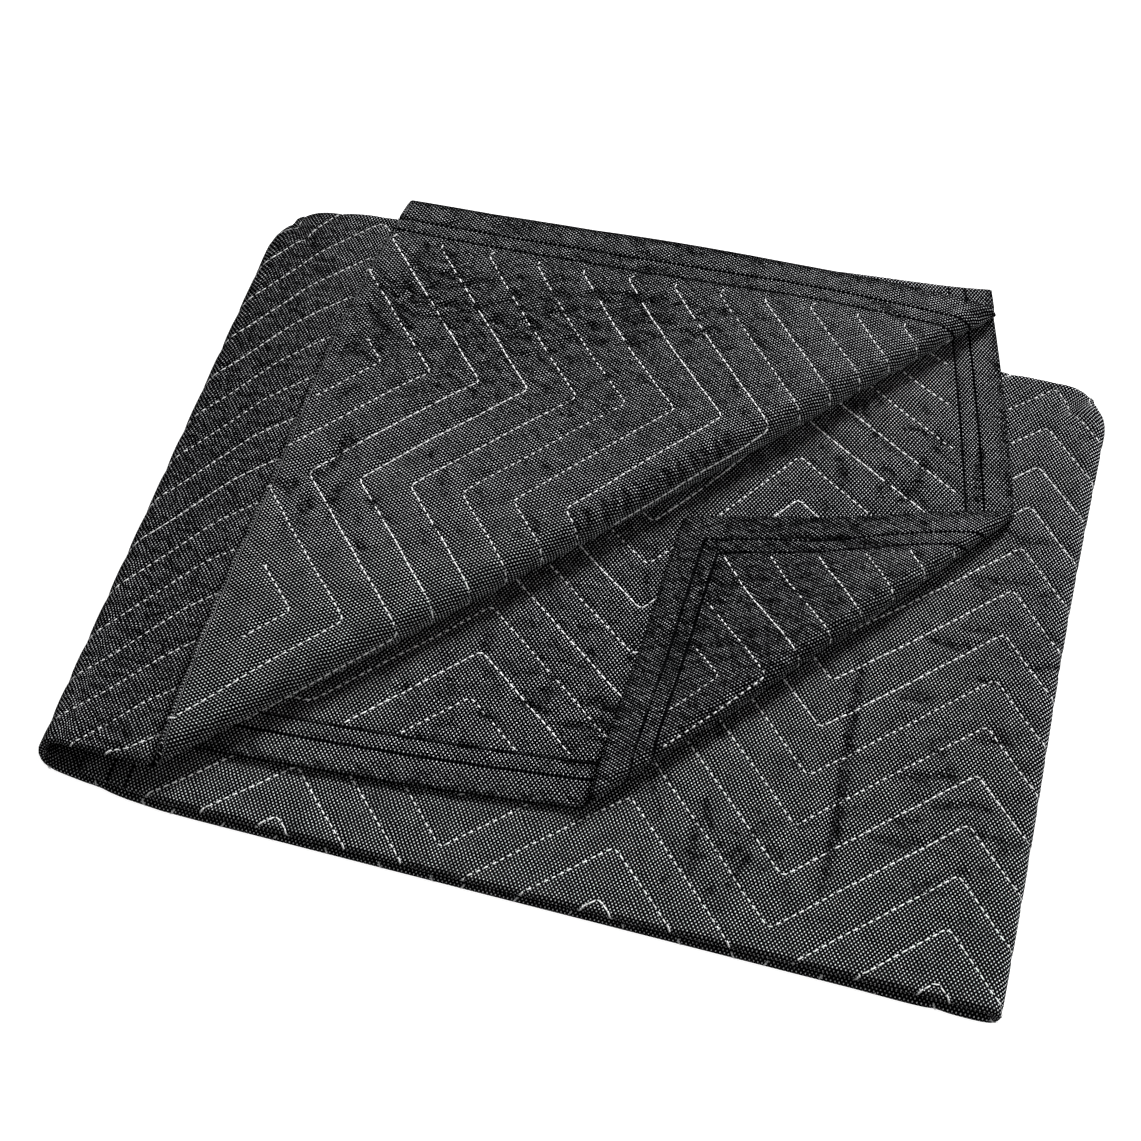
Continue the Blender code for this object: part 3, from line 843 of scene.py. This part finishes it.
# Where the outer face of the cloth shows, and where the inner one does
def shownFaces(x, y, margins):
    beyondTop, beyondLower = beyondCorners(x, y)
    outerLayer = isBetween(y, layerLimits(margins))
    inLeft, overBack = x < panelLeft + margins["left"], y > backEdge + backArc
    outer = outerLayer & isBetween(x - panelRight, margins["body"])
    outer |= outerLayer & (x > panelRight) & (y < frontEdge + margins["front"])
    outer |= outerLayer & isBetween(x - panelLeft, margins["strip"])
    outer |= inLeft & (y < frontEdge + margins["flapFront"]) & (beyondTop > margins["flap"])
    outer |= inLeft & overBack & (beyondLower > margins["smallFlap"])
    beforeTop, pastLower = margins["inner"]
    return outer, inLeft & overBack & (beyondTop > beforeTop) & (beyondLower < pastLower)


# Step of the grid on one face: one cell where it shows, more where it bends or is hidden
def stepNeeded(x, y, side):
    outerLayer = isBetween(y, layerLimits(gridding["shown"]))
    inLeft = x < panelLeft + folds["leftMargin"]
    beyondTop, beyondLower = beyondCorners(x, y)
    leftBend, rightMiddle = gridding["leftBend"], (rightLine + panelRight) / 2
    bends = inLeft & (y < backEdge) & isBetween(beyondTop, gridding["topBend"])
    bends |= inLeft & (y > backEdge) & isBetween(beyondLower, gridding["lowerBend"])
    bends |= outerLayer & isBetween(x, (panelLeft - leftBend, leftLine[0] + leftBend))
    bends |= outerLayer & (np.abs(x - rightMiddle) < gridding["rightBend"])
    outer, inner = shownFaces(x, y, gridding["shown"])
    shown = outer if side == "outer" else inner
    return np.where(shown, 1, np.where(bends, gridding["bendStep"], gridding["hiddenStep"]))


# Cells of one face, the grid places they use, and the ones that lie in hidden cloth alone
def faceGrid(across, acrossHard, down, downHard, side):
    runsX, runsY = gridRuns(acrossHard), gridRuns(downHard)
    steps = np.full((len(runsX), len(runsY)), gridding["hiddenStep"])
    for shareX in (0.0, 0.5, 1.0):
        for shareY in (0.0, 0.5, 1.0):
            tileX = np.array([across[a] + shareX * (across[b] - across[a]) for a, b in runsX])
            tileY = np.array([down[a] + shareY * (down[b] - down[a]) for a, b in runsY])
            gridX, gridY = [g.ravel() for g in np.meshgrid(tileX, tileY, indexing="ij")]
            steps = np.minimum(steps, stepNeeded(gridX, gridY, side).reshape(steps.shape))
    used = np.zeros((len(across), len(down)), bool)
    plain = np.ones(used.shape, bool)
    cells = []
    for i, (x0, x1) in enumerate(runsX):
        for j, (y0, y1) in enumerate(runsY):
            step = steps[i, j]
            xs = list(range(x0, x1, step)) + [x1]
            ys = list(range(y0, y1, step)) + [y1]
            used[np.ix_(xs, ys)] = True
            if step < gridding["hiddenStep"]:
                plain[np.ix_(xs, ys)] = False
            cells += [(a, b, c, d) for a, b in zip(xs, xs[1:]) for c, d in zip(ys, ys[1:])]
    return used, plain, cells


# Corners of a cell, with the grid places on its sides that finer neighbours use
def cellLoop(cell, used):
    x0, x1, y0, y1 = cell
    loop = [(i, y0) for i in range(x0, x1) if used[i, y0]]
    loop += [(x1, j) for j in range(y0, y1) if used[x1, j]]
    loop += [(i, y1) for i in range(x1, x0, -1) if used[i, y1]]
    loop += [(x0, j) for j in range(y1, y0, -1) if used[x0, j]]
    return loop


# Points and faces of one side of the cloth, with the row of points round its rim
def clothFace(lines, grid, side):
    across, down = lines
    used, plain, cells = grid
    where = np.argwhere(used)
    number = -np.ones(used.shape, int)
    number[tuple(where.T)] = np.arange(len(where))
    flatX, flatY = across[where[:, 0]], down[where[:, 1]]
    inside = edgeDistance(flatX, flatY)

    def placed(x, y, relief):
        return foldedPlaces(x, y, -relief if side == "outer" else thickness + relief)

    hidden = plain[tuple(where.T)] & (inside > edgeRound)  # hidden cloth stays smooth
    points = placed(flatX, flatY, np.where(hidden, 0.0, faceRelief(flatX, flatY, side)))
    quads, others = [], []
    for cell in cells:
        loop = [number[p] for p in cellLoop(cell, used)]
        (quads if len(loop) == 4 else others).append(loop)
    quads = np.array(quads)
    # each cell is split along the diagonal that lies nearer the true surface
    centreX, centreY = flatX[quads].mean(1), flatY[quads].mean(1)
    centre = placed(centreX, centreY, faceRelief(centreX, centreY, side))
    first = np.linalg.norm((points[quads[:, 0]] + points[quads[:, 2]]) / 2 - centre, axis=1)
    second = np.linalg.norm((points[quads[:, 1]] + points[quads[:, 3]]) / 2 - centre, axis=1)
    turned = first > second
    quads[turned] = np.roll(quads[turned], 1, axis=1)
    faces = []
    for a, b, c, d in quads.tolist():
        faces += [(a, b, c), (a, c, d)]
    faces += [tuple(loop) for loop in others]
    if side == "outer":
        faces = [face[::-1] for face in faces]
    rim = cellLoop((0, len(across) - 1, 0, len(down) - 1), used)
    marks = np.column_stack([paintedShadeShare(flatX, flatY, side), inside])
    return points, wovenPlaces(flatX, flatY, side), marks, faces, [number[p] for p in rim]


# Makes a smooth mesh object of points and faces
def addPiece(name, points, faces):
    mesh = bpy.data.meshes.new(name)
    mesh.from_pydata(points.tolist(), [], faces)
    mesh.polygons.foreach_set("use_smooth", np.ones(len(mesh.polygons), bool))
    piece = bpy.data.objects.new(name, mesh)
    bpy.context.scene.collection.objects.link(piece)
    mesh.update()
    return piece


# Both faces, closed round the rim, with the weave's places, and for the material the painted shade mask and
# the distance in from the edge
def buildCloth():
    across, acrossHard = acrossLines()
    down, downHard = downLines()
    grids = [faceGrid(across, acrossHard, down, downHard, side) for side in ("outer", "inner")]
    for edge in (np.s_[0, :], np.s_[-1, :], np.s_[:, 0], np.s_[:, -1]):
        both = grids[0][0][edge] | grids[1][0][edge]
        for used, plain, cells in grids:
            used[edge] = both
    parts, faces, rings, count = [], [], [], 0
    for grid, side in zip(grids, ("outer", "inner")):
        points, woven, marks, sideFaces, rim = clothFace((across, down), grid, side)
        parts.append((points, woven, marks))
        faces += [tuple(v + count for v in face) for face in sideFaces]
        rings.append([v + count for v in rim])
        count += len(points)
    outerRing, innerRing = rings
    for i in range(len(outerRing)):
        j = (i + 1) % len(outerRing)
        faces.append((outerRing[i], outerRing[j], innerRing[j], innerRing[i]))
    points, woven, marks = [np.concatenate(part) for part in zip(*parts)]
    points[:, 2] = np.maximum(points[:, 2], 0.0)  # the underside lies flat on the floor
    piece = addPiece("quiltedCloth", points, faces)
    mesh = piece.data
    layer = mesh.uv_layers.new(name="wovenPlace")
    loopVerts = np.zeros(len(mesh.loops), int)
    mesh.loops.foreach_get("vertex_index", loopVerts)
    layer.data.foreach_set("uv", woven[loopVerts].astype(np.float32).ravel())
    # the painted shade mask and the distance in from the edge, kept on each point for the material
    for name, values in zip(("paintedShade", "hemPlace"), marks.T):
        attribute = mesh.attributes.new(name, "FLOAT", "POINT")
        attribute.data.foreach_set("value", values.astype(np.float32))
    triangles = sum(len(p.vertices) - 2 for p in mesh.polygons)
    print("cloth:", len(mesh.vertices), "points,", triangles, "triangles")
    return piece


quiltedCloth = buildCloth()

# Stitches: one short thread is modelled, then laid along every line in view. Shares are of a stitch's
# length, and the places in view are distances past the fold lines and corner lines
thread = {
    "length": 0.0063,
    "width": 0.00115,
    "height": 0.0006,
    "hemLength": 0.0052,
    "hemWidth": 0.0009,
    "sides": 5,
    "straightPart": 0.72,
    "endDive": 0.3,
    "lift": 0.00012,
    "bendReach": 0.005,
    "bendPieces": 4,
    "bendLift": 0.0006,
    "floorClearance": 0.0009,
    "hemMargin": 0.002,
    "lineStep": 0.0004,
    "turnSteps": 4,  # places each way that give a stitch its direction
    "traceRounds": 14,
    "traceGain": 0.9,
    "traceMiss": 0.05,
    "pitch": (0.94, 1.06),
    "solid": (0.60, 0.97),  # how much of a stitch's pitch is thread, for a whole line
    "solidSwing": (0.12, 9.0),  # how much that changes along the line, and how quickly
    "solidJitter": (-0.05, 0.05),
    "solidLimits": (0.55, 1.0),
    "turnJitter": (-0.03, 0.03),
    "hemSolid": (0.6, 0.75),
    "seed": 7,
    "hemSeed": 11,
    "shown": {
        "layer": 0.0,
        "left": 0.0,
        "body": (0.0, 0.38),
        "front": 0.14,
        "strip": (-0.17, panelRight - panelLeft),
        "flapFront": 0.0,
        "flap": -0.015,
        "smallFlap": -0.012,
        "inner": (-0.03, 0.035),
    },
}


# A short rod along x whose two ends dive into the cloth
def modelThread():
    bpy.ops.mesh.primitive_cylinder_add(
        vertices=thread["sides"],
        radius=0.5,
        depth=thread["straightPart"],
        end_fill_type="TRIFAN",
        rotation=(0, math.pi / 2, 0),
    )
    model = bpy.context.object
    bpy.ops.object.transform_apply(location=True, rotation=True, scale=True)
    for vert in model.data.vertices:
        if math.hypot(vert.co.y, vert.co.z) < 0.1:  # the middle of an end
            vert.co.x = math.copysign(0.5, vert.co.x)
            vert.co.z = -thread["endDive"]
    points = np.array([v.co for v in model.data.vertices], float)
    faces = [list(p.vertices) for p in model.data.polygons]
    bpy.data.objects.remove(model, do_unlink=True)
    return points, faces


threadPoints, threadFaces = modelThread()


# True where a stitch runs round the sharp front fold, so that it is laid in short pieces
def onFrontBend(y):
    return np.abs(y - frontEdge + frontArc / 2) < thread["bendReach"]


# Lays threads given by their flat centres, directions, lengths and the cloth face they sit on
def layThreads(name, rows, width):
    centreX, centreY, angle, length, onInner = [np.array(c, float) for c in zip(*rows)]
    run = threadPoints[:, 0] * length[:, None]
    side = threadPoints[:, 1] * width
    x = centreX[:, None] + run * np.cos(angle)[:, None] - side * np.sin(angle)[:, None]
    y = centreY[:, None] + run * np.sin(angle)[:, None] + side * np.cos(angle)[:, None]
    x, y = x.ravel(), y.ravel()
    midX, midY = np.repeat(centreX, len(threadPoints)), np.repeat(centreY, len(threadPoints))
    isInner = np.repeat(onInner, len(threadPoints)) > 0.5
    middle = np.where(isInner, faceRelief(midX, midY, "inner"), faceRelief(midX, midY, "outer"))
    lift = np.tile(threadPoints[:, 2], len(centreX)) * thread["height"] + thread["lift"]
    out = middle + lift + np.where(onFrontBend(midY), thread["bendLift"], 0.0)
    height = np.where(isInner, thickness + out, -out)
    points = foldedPlaces(x, y, height)
    faces = []
    for k in range(len(centreX)):
        base = k * len(threadPoints)
        flip = onInner[k] < 0.5
        for face in threadFaces:
            ring = [base + v for v in face]
            faces.append(ring[::-1] if flip else ring)
    print(name + ":", len(centreX), "stitches,", sum(len(f) - 2 for f in faces), "triangles")
    return addPiece(name, points, faces)


# Stitches along every quilted line: centre, direction and length
def quiltingRows():
    rng = np.random.default_rng(thread["seed"])
    rows = []
    edge = hemRows[1] + thread["hemMargin"]
    xs = np.arange(clothLeft + edge, clothRight - edge, thread["lineStep"])
    firstLine = math.floor(clothFront / lineSpacing)
    lastLine = math.ceil((clothBack + cloth["waveHeight"]) / lineSpacing)
    lines = np.arange(firstLine, lastLine + 1)
    allX, allLines = np.tile(xs, len(lines)), np.repeat(lines, len(xs))
    allY = allLines * lineSpacing - cloth["waveHeight"] / 2
    for step in range(thread["traceRounds"]):  # each round brings every place closer to its line
        allY = allY + thread["traceGain"] * lineSpacing * (allLines - quiltPhase(allX, allY))
    missed = np.abs(allLines - quiltPhase(allX, allY)) > thread["traceMiss"]
    allY = np.where(missed, clothBack + 1.0, allY)
    swing, swingTurn = thread["solidSwing"]
    near = thread["turnSteps"]
    for line, ys in zip(lines, allY.reshape(len(lines), -1)):
        travelled = np.concatenate([[0.0], np.cumsum(np.hypot(np.diff(xs), np.diff(ys)))])
        solid = rng.uniform(*thread["solid"])
        reached = rng.uniform(0.0, thread["length"])
        while reached < travelled[-1]:
            pitch = thread["length"] * rng.uniform(*thread["pitch"])
            share = solid + swing * math.sin(reached * swingTurn + line) + rng.uniform(*thread["solidJitter"])
            share = np.clip(share, *thread["solidLimits"])
            centre = reached + pitch * share / 2
            k = np.searchsorted(travelled, centre)
            if 2 * near < k < len(xs) - 2 * near and edgeDistance(xs[k], ys[k]) > edge:
                angle = math.atan2(ys[k + near] - ys[k - near], xs[k + near] - xs[k - near])
                angle += rng.uniform(*thread["turnJitter"])
                pieces = thread["bendPieces"] if onFrontBend(ys[k]) else 1
                for piece in range(pieces):
                    shift = pitch * share * ((piece + 0.5) / pieces - 0.5)
                    place = (xs[k] + shift * math.cos(angle), ys[k] + shift * math.sin(angle))
                    rows.append(place + (angle, pitch * share / pieces))
            reached += pitch
    return rows


# Keeps the stitches in view, each with a 0 for the outer face or a 1 for the inner one
def visibleRows(rows):
    table = np.array(rows)
    x, y = table[:, 0], table[:, 1]
    outer, inner = shownFaces(x, y, thread["shown"])
    clear = foldedPlaces(x, y, np.zeros_like(x))[:, 2] > thread["floorClearance"]
    seen = [tuple(r) + (0.0,) for r in table[outer & clear]]
    return seen + [tuple(r) + (1.0,) for r in table[inner]]


# Stitches of the two hem rows: the left hem's, then those of the front and back edges
def hemRowsTable():
    rng = np.random.default_rng(thread["hemSeed"])
    rows = []
    step = thread["hemLength"]
    for inset in hemRows:
        for y in np.arange(clothFront + inset, clothBack - inset, step):
            rows.append((clothLeft + inset, y, math.pi / 2, step * rng.uniform(*thread["hemSolid"])))
        for x in np.arange(clothLeft + inset, clothRight - inset, step):
            for y in (clothFront + inset, clothBack - inset):
                rows.append((x, y, 0.0, step * rng.uniform(*thread["hemSolid"])))
    return rows


quiltThread = layThreads("quiltThread", visibleRows(quiltingRows()), thread["width"])
hemThread = layThreads("hemThread", visibleRows(hemRowsTable()), thread["hemWidth"])

# The cloth's finish: pale woven dots on black cotton, with painted shade dimming the dots in the creases,
# along the hem rows, at the edges and in the dimmed places, and wrinkle bumps that follow the same mask
finish = {
    "dark": (0.0022, 0.0023, 0.0027, 1.0),
    "light": (0.80, 0.81, 0.83, 1.0),
    "dotsAcross": 340.0,
    "dotsDown": 240.0,
    "dotShare": 0.62,
    "dotEdge": 7.0,
    "weaveWander": 0.0022,
    "weaveWanderScale": 55.0,
    "grainScale": 700.0,
    "grain": (1.6, 0.1),  # strength of the noise, and the least that is left
    "patchScale": 60.0,
    "patch": (1.5, 0.2),  # the same
    "paintedShadeStrength": 0.85,
    "hemLine": 0.0006,
    "roughness": 0.88,
    "weaveBump": 0.6,
    "weaveDepth": 0.0003,
    "wrinkleScale": 75.0,
    "wrinkleTwist": 1.2,
    "wrinkleBump": 2.0,
    "wrinkleDepth": 0.0140,
}

# The two threads, and the unevenness that both share
threadFinish = {
    "white": {"colour": (0.86, 0.86, 0.86), "roughness": 0.6, "shine": 0.5},
    "black": {"colour": (0.003, 0.003, 0.0035), "roughness": 0.8, "shine": 0.0},
    "unevenScale": 900.0,
    "unevenShade": 0.72,
    "unevenEnds": (0.25, 0.75),  # where the shade of the noise starts and ends
}


# Sets a node's inputs to fixed values or links them to other nodes' outputs
def feed(node, inputs):
    for name, value in inputs.items():
        if isinstance(value, bpy.types.NodeSocket):
            node.id_data.links.new(value, node.inputs[name])
        else:
            node.inputs[name].default_value = value


def addNode(tree, kind, place, inputs=None, **settings):
    node = tree.nodes.new(kind)
    node.location = place
    for key, value in settings.items():
        setattr(node, key, value)
    feed(node, inputs or {})
    return node


def mathNode(tree, operation, *values, clamp=False):
    inputs = dict(enumerate(values))
    return addNode(tree, "ShaderNodeMath", (0, 0), inputs, operation=operation, use_clamp=clamp).outputs[0]


def multiply(tree, a, b, clamp=False):
    return mathNode(tree, "MULTIPLY", a, b, clamp=clamp)


def noiseNode(tree, place, vector, scale, **inputs):
    inputs.update({"Vector": vector, "Scale": scale})
    return addNode(tree, "ShaderNodeTexNoise", place, inputs).outputs["Fac"]


def newMaterial(name):
    material = bpy.data.materials.new(name)
    material.use_nodes = True
    return material, material.node_tree.nodes["Principled BSDF"]


# Woven dots in staggered rows, from a flat place in metres
def weaveGroup():
    group = bpy.data.node_groups.new("stapleWeave", "ShaderNodeTree")
    group.interface.new_socket("Flat", in_out="INPUT", socket_type="NodeSocketVector")
    for name in ("Across", "Down", "Threshold"):
        group.interface.new_socket(name, in_out="INPUT", socket_type="NodeSocketFloat")
    for name in ("Dots", "Height"):
        group.interface.new_socket(name, in_out="OUTPUT", socket_type="NodeSocketFloat")
    start = addNode(group, "NodeGroupInput", (-900, 0))
    end = addNode(group, "NodeGroupOutput", (900, 0))
    flat = start.outputs["Flat"]
    wander = noiseNode(group, (-900, -300), flat, finish["weaveWanderScale"], Detail=2.0)
    parts = addNode(group, "ShaderNodeSeparateXYZ", (-700, 0), {0: flat})
    shift = multiply(group, mathNode(group, "SUBTRACT", wander, 0.5), finish["weaveWander"])
    x = mathNode(group, "ADD", parts.outputs["X"], shift)
    y = mathNode(group, "SUBTRACT", parts.outputs["Y"], shift)
    waves = []
    for place, count in ((x, start.outputs["Across"]), (y, start.outputs["Down"])):
        waves.append(mathNode(group, "COSINE", multiply(group, multiply(group, place, count), 2 * math.pi)))
    both = multiply(group, *waves)
    over = mathNode(group, "SUBTRACT", both, start.outputs["Threshold"])
    feed(end, {"Dots": multiply(group, over, finish["dotEdge"], clamp=True), "Height": both})
    return group


# One everywhere but along the two sewn rows of a hem, where it falls to zero
def hemLines(tree):
    place = addNode(tree, "ShaderNodeAttribute", (-1400, -900), attribute_name="hemPlace")
    shown = 1.0
    for row in hemRows:
        away = mathNode(tree, "ABSOLUTE", mathNode(tree, "SUBTRACT", place.outputs["Fac"], row))
        clear = mathNode(tree, "SUBTRACT", away, finish["hemLine"])
        beside = multiply(tree, clear, 1.0 / finish["hemLine"], clamp=True)
        shown = multiply(tree, beside, shown)
    return shown


def clothMaterial():
    material, shader = newMaterial("quiltedCotton")
    tree = material.node_tree
    flat = addNode(tree, "ShaderNodeUVMap", (-1400, 0), uv_map="wovenPlace").outputs[0]
    paintedShade = addNode(tree, "ShaderNodeAttribute", (-1400, -700), attribute_name="paintedShade").outputs["Fac"]
    weave = addNode(tree, "ShaderNodeGroup", (-900, 0), node_tree=weaveGroup())
    feed(weave, {"Flat": flat, "Threshold": finish["dotShare"]})
    feed(weave, {"Across": finish["dotsAcross"], "Down": finish["dotsDown"]})
    uneven = noiseNode(tree, (-1200, -400), flat, finish["grainScale"], Detail=2.0)
    grain = mathNode(tree, "MULTIPLY_ADD", uneven, *finish["grain"])
    patches = noiseNode(tree, (-1200, -600), flat, finish["patchScale"], Detail=4.0)
    patch = mathNode(tree, "MULTIPLY_ADD", patches, *finish["patch"])
    # painted shade: the pale dots dim where the painted shade mask is high
    light = mathNode(tree, "MULTIPLY_ADD", paintedShade, -finish["paintedShadeStrength"], 1.0)
    light = multiply(tree, multiply(tree, light, patch), hemLines(tree))
    dots = multiply(tree, weave.outputs["Dots"], multiply(tree, grain, light), clamp=True)
    colour = addNode(tree, "ShaderNodeMix", (-400, 200), data_type="RGBA")
    feed(colour, {"A": finish["dark"], "B": finish["light"], "Factor": dots})
    wrinkles = noiseNode(
        tree, (-1200, -900), flat, finish["wrinkleScale"], Detail=3.0, Distortion=finish["wrinkleTwist"]
    )
    crumpled = addNode(tree, "ShaderNodeBump", (-600, -300), {
        "Strength": multiply(tree, paintedShade, finish["wrinkleBump"], clamp=True),
        "Distance": finish["wrinkleDepth"],
        "Height": wrinkles,
    })
    bump = addNode(tree, "ShaderNodeBump", (-300, -200), {
        "Strength": finish["weaveBump"],
        "Distance": finish["weaveDepth"],
        "Height": weave.outputs["Height"],
        "Normal": crumpled.outputs["Normal"],
    })
    feed(shader, {"Base Color": colour.outputs["Result"], "Normal": bump.outputs["Normal"]})
    feed(shader, {"Roughness": finish["roughness"], "Specular IOR Level": 0.0})
    return material


def threadMaterial(name, kind):
    material, shader = newMaterial(name)
    tree = material.node_tree
    look = threadFinish[kind]
    place = addNode(tree, "ShaderNodeTexCoord", (-900, 0)).outputs["Object"]
    ramp = addNode(tree, "ShaderNodeValToRGB", (-450, 0))
    shades = (threadFinish["unevenShade"], 1.0)
    for end, position, shade in zip(ramp.color_ramp.elements, threadFinish["unevenEnds"], shades):
        end.position = position
        end.color = [shade * c for c in look["colour"]] + [1.0]
    feed(ramp, {"Fac": noiseNode(tree, (-700, 0), place, threadFinish["unevenScale"])})
    feed(shader, {"Base Color": ramp.outputs["Color"]})
    feed(shader, {"Roughness": look["roughness"], "Specular IOR Level": look["shine"]})
    return material


quiltedCloth.data.materials.append(clothMaterial())
quiltThread.data.materials.append(threadMaterial("whiteThread", "white"))
hemThread.data.materials.append(threadMaterial("blackThread", "black"))

# What the pieces are in the frame
for piece in (quiltedCloth, quiltThread, hemThread):
    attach(piece, "root")
    print(piece.name + ":", piece.data.materials[0].name)
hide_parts("blanket")

# Floor, sky and lights: a light's strength, its turn and how wide it shines, in degrees
studio = {
    "floorSize": 60.0,
    "floorColour": (0.60, 0.60, 0.60, 1.0),
    "floorRoughness": 0.9,
    "floorGlow": 0.90,
    "white": (1.0, 1.0, 1.0, 1.0),
    "horizon": (-0.05, 0.30),
    "groundStrength": 0.02,
    "skyStrength": 0.12,
    "lights": {
        "keyLight": (7.6, (0, 62, 75), 14.0),
        "sideLight": (1.8, (0, 76, 6), 40.0),
        "fillLight": (1.2, (0, 82, -126), 60.0),
    },
}
bpy.ops.mesh.primitive_plane_add(size=studio["floorSize"], location=(0, 0, 0))
floor = bpy.context.object
floor.name = "floor"
floorMaterial, floorShader = newMaterial("paleFloor")
feed(floorShader, {"Base Color": studio["floorColour"], "Roughness": studio["floorRoughness"]})
feed(floorShader, {"Emission Color": studio["white"], "Emission Strength": studio["floorGlow"]})
floor.data.materials.append(floorMaterial)
floor.visible_diffuse = False
floor.visible_glossy = False

world = bpy.data.worlds.new("softStudio")
world.use_nodes = True
worldTree = world.node_tree
skyPlace = addNode(worldTree, "ShaderNodeTexCoord", (-800, 0))
skyParts = addNode(worldTree, "ShaderNodeSeparateXYZ", (-600, 0), {0: skyPlace.outputs["Generated"]})
skyRise = addNode(worldTree, "ShaderNodeMapRange", (-400, 0), {
    "Value": skyParts.outputs["Z"],
    "From Min": studio["horizon"][0],
    "From Max": studio["horizon"][1],
    "To Min": studio["groundStrength"],
    "To Max": studio["skyStrength"],
})
feed(worldTree.nodes["Background"], {"Strength": skyRise.outputs["Result"], "Color": studio["white"]})
bpy.context.scene.world = world

for name, (strength, turn, spread) in studio["lights"].items():
    light = bpy.data.objects.new(name, bpy.data.lights.new(name, "SUN"))
    light.data.energy = strength
    light.data.angle = math.radians(spread)
    light.rotation_euler = Euler([math.radians(a) for a in turn])
    bpy.context.scene.collection.objects.link(light)
bpy.context.scene.view_settings.view_transform = "Standard"

camera = bpy.data.objects.new("camera", bpy.data.cameras.new("camera"))
camera.location = view["place"]
camera.rotation_euler = Euler([math.radians(a) for a in view["turn"]])
camera.data.lens = view["lens"]
camera.data.sensor_width = view["sensor"]
camera.data.clip_end = view["farEnd"]
bpy.context.scene.collection.objects.link(camera)
bpy.context.scene.camera = camera
print("studio:", len(studio["lights"]), "lights and the camera")
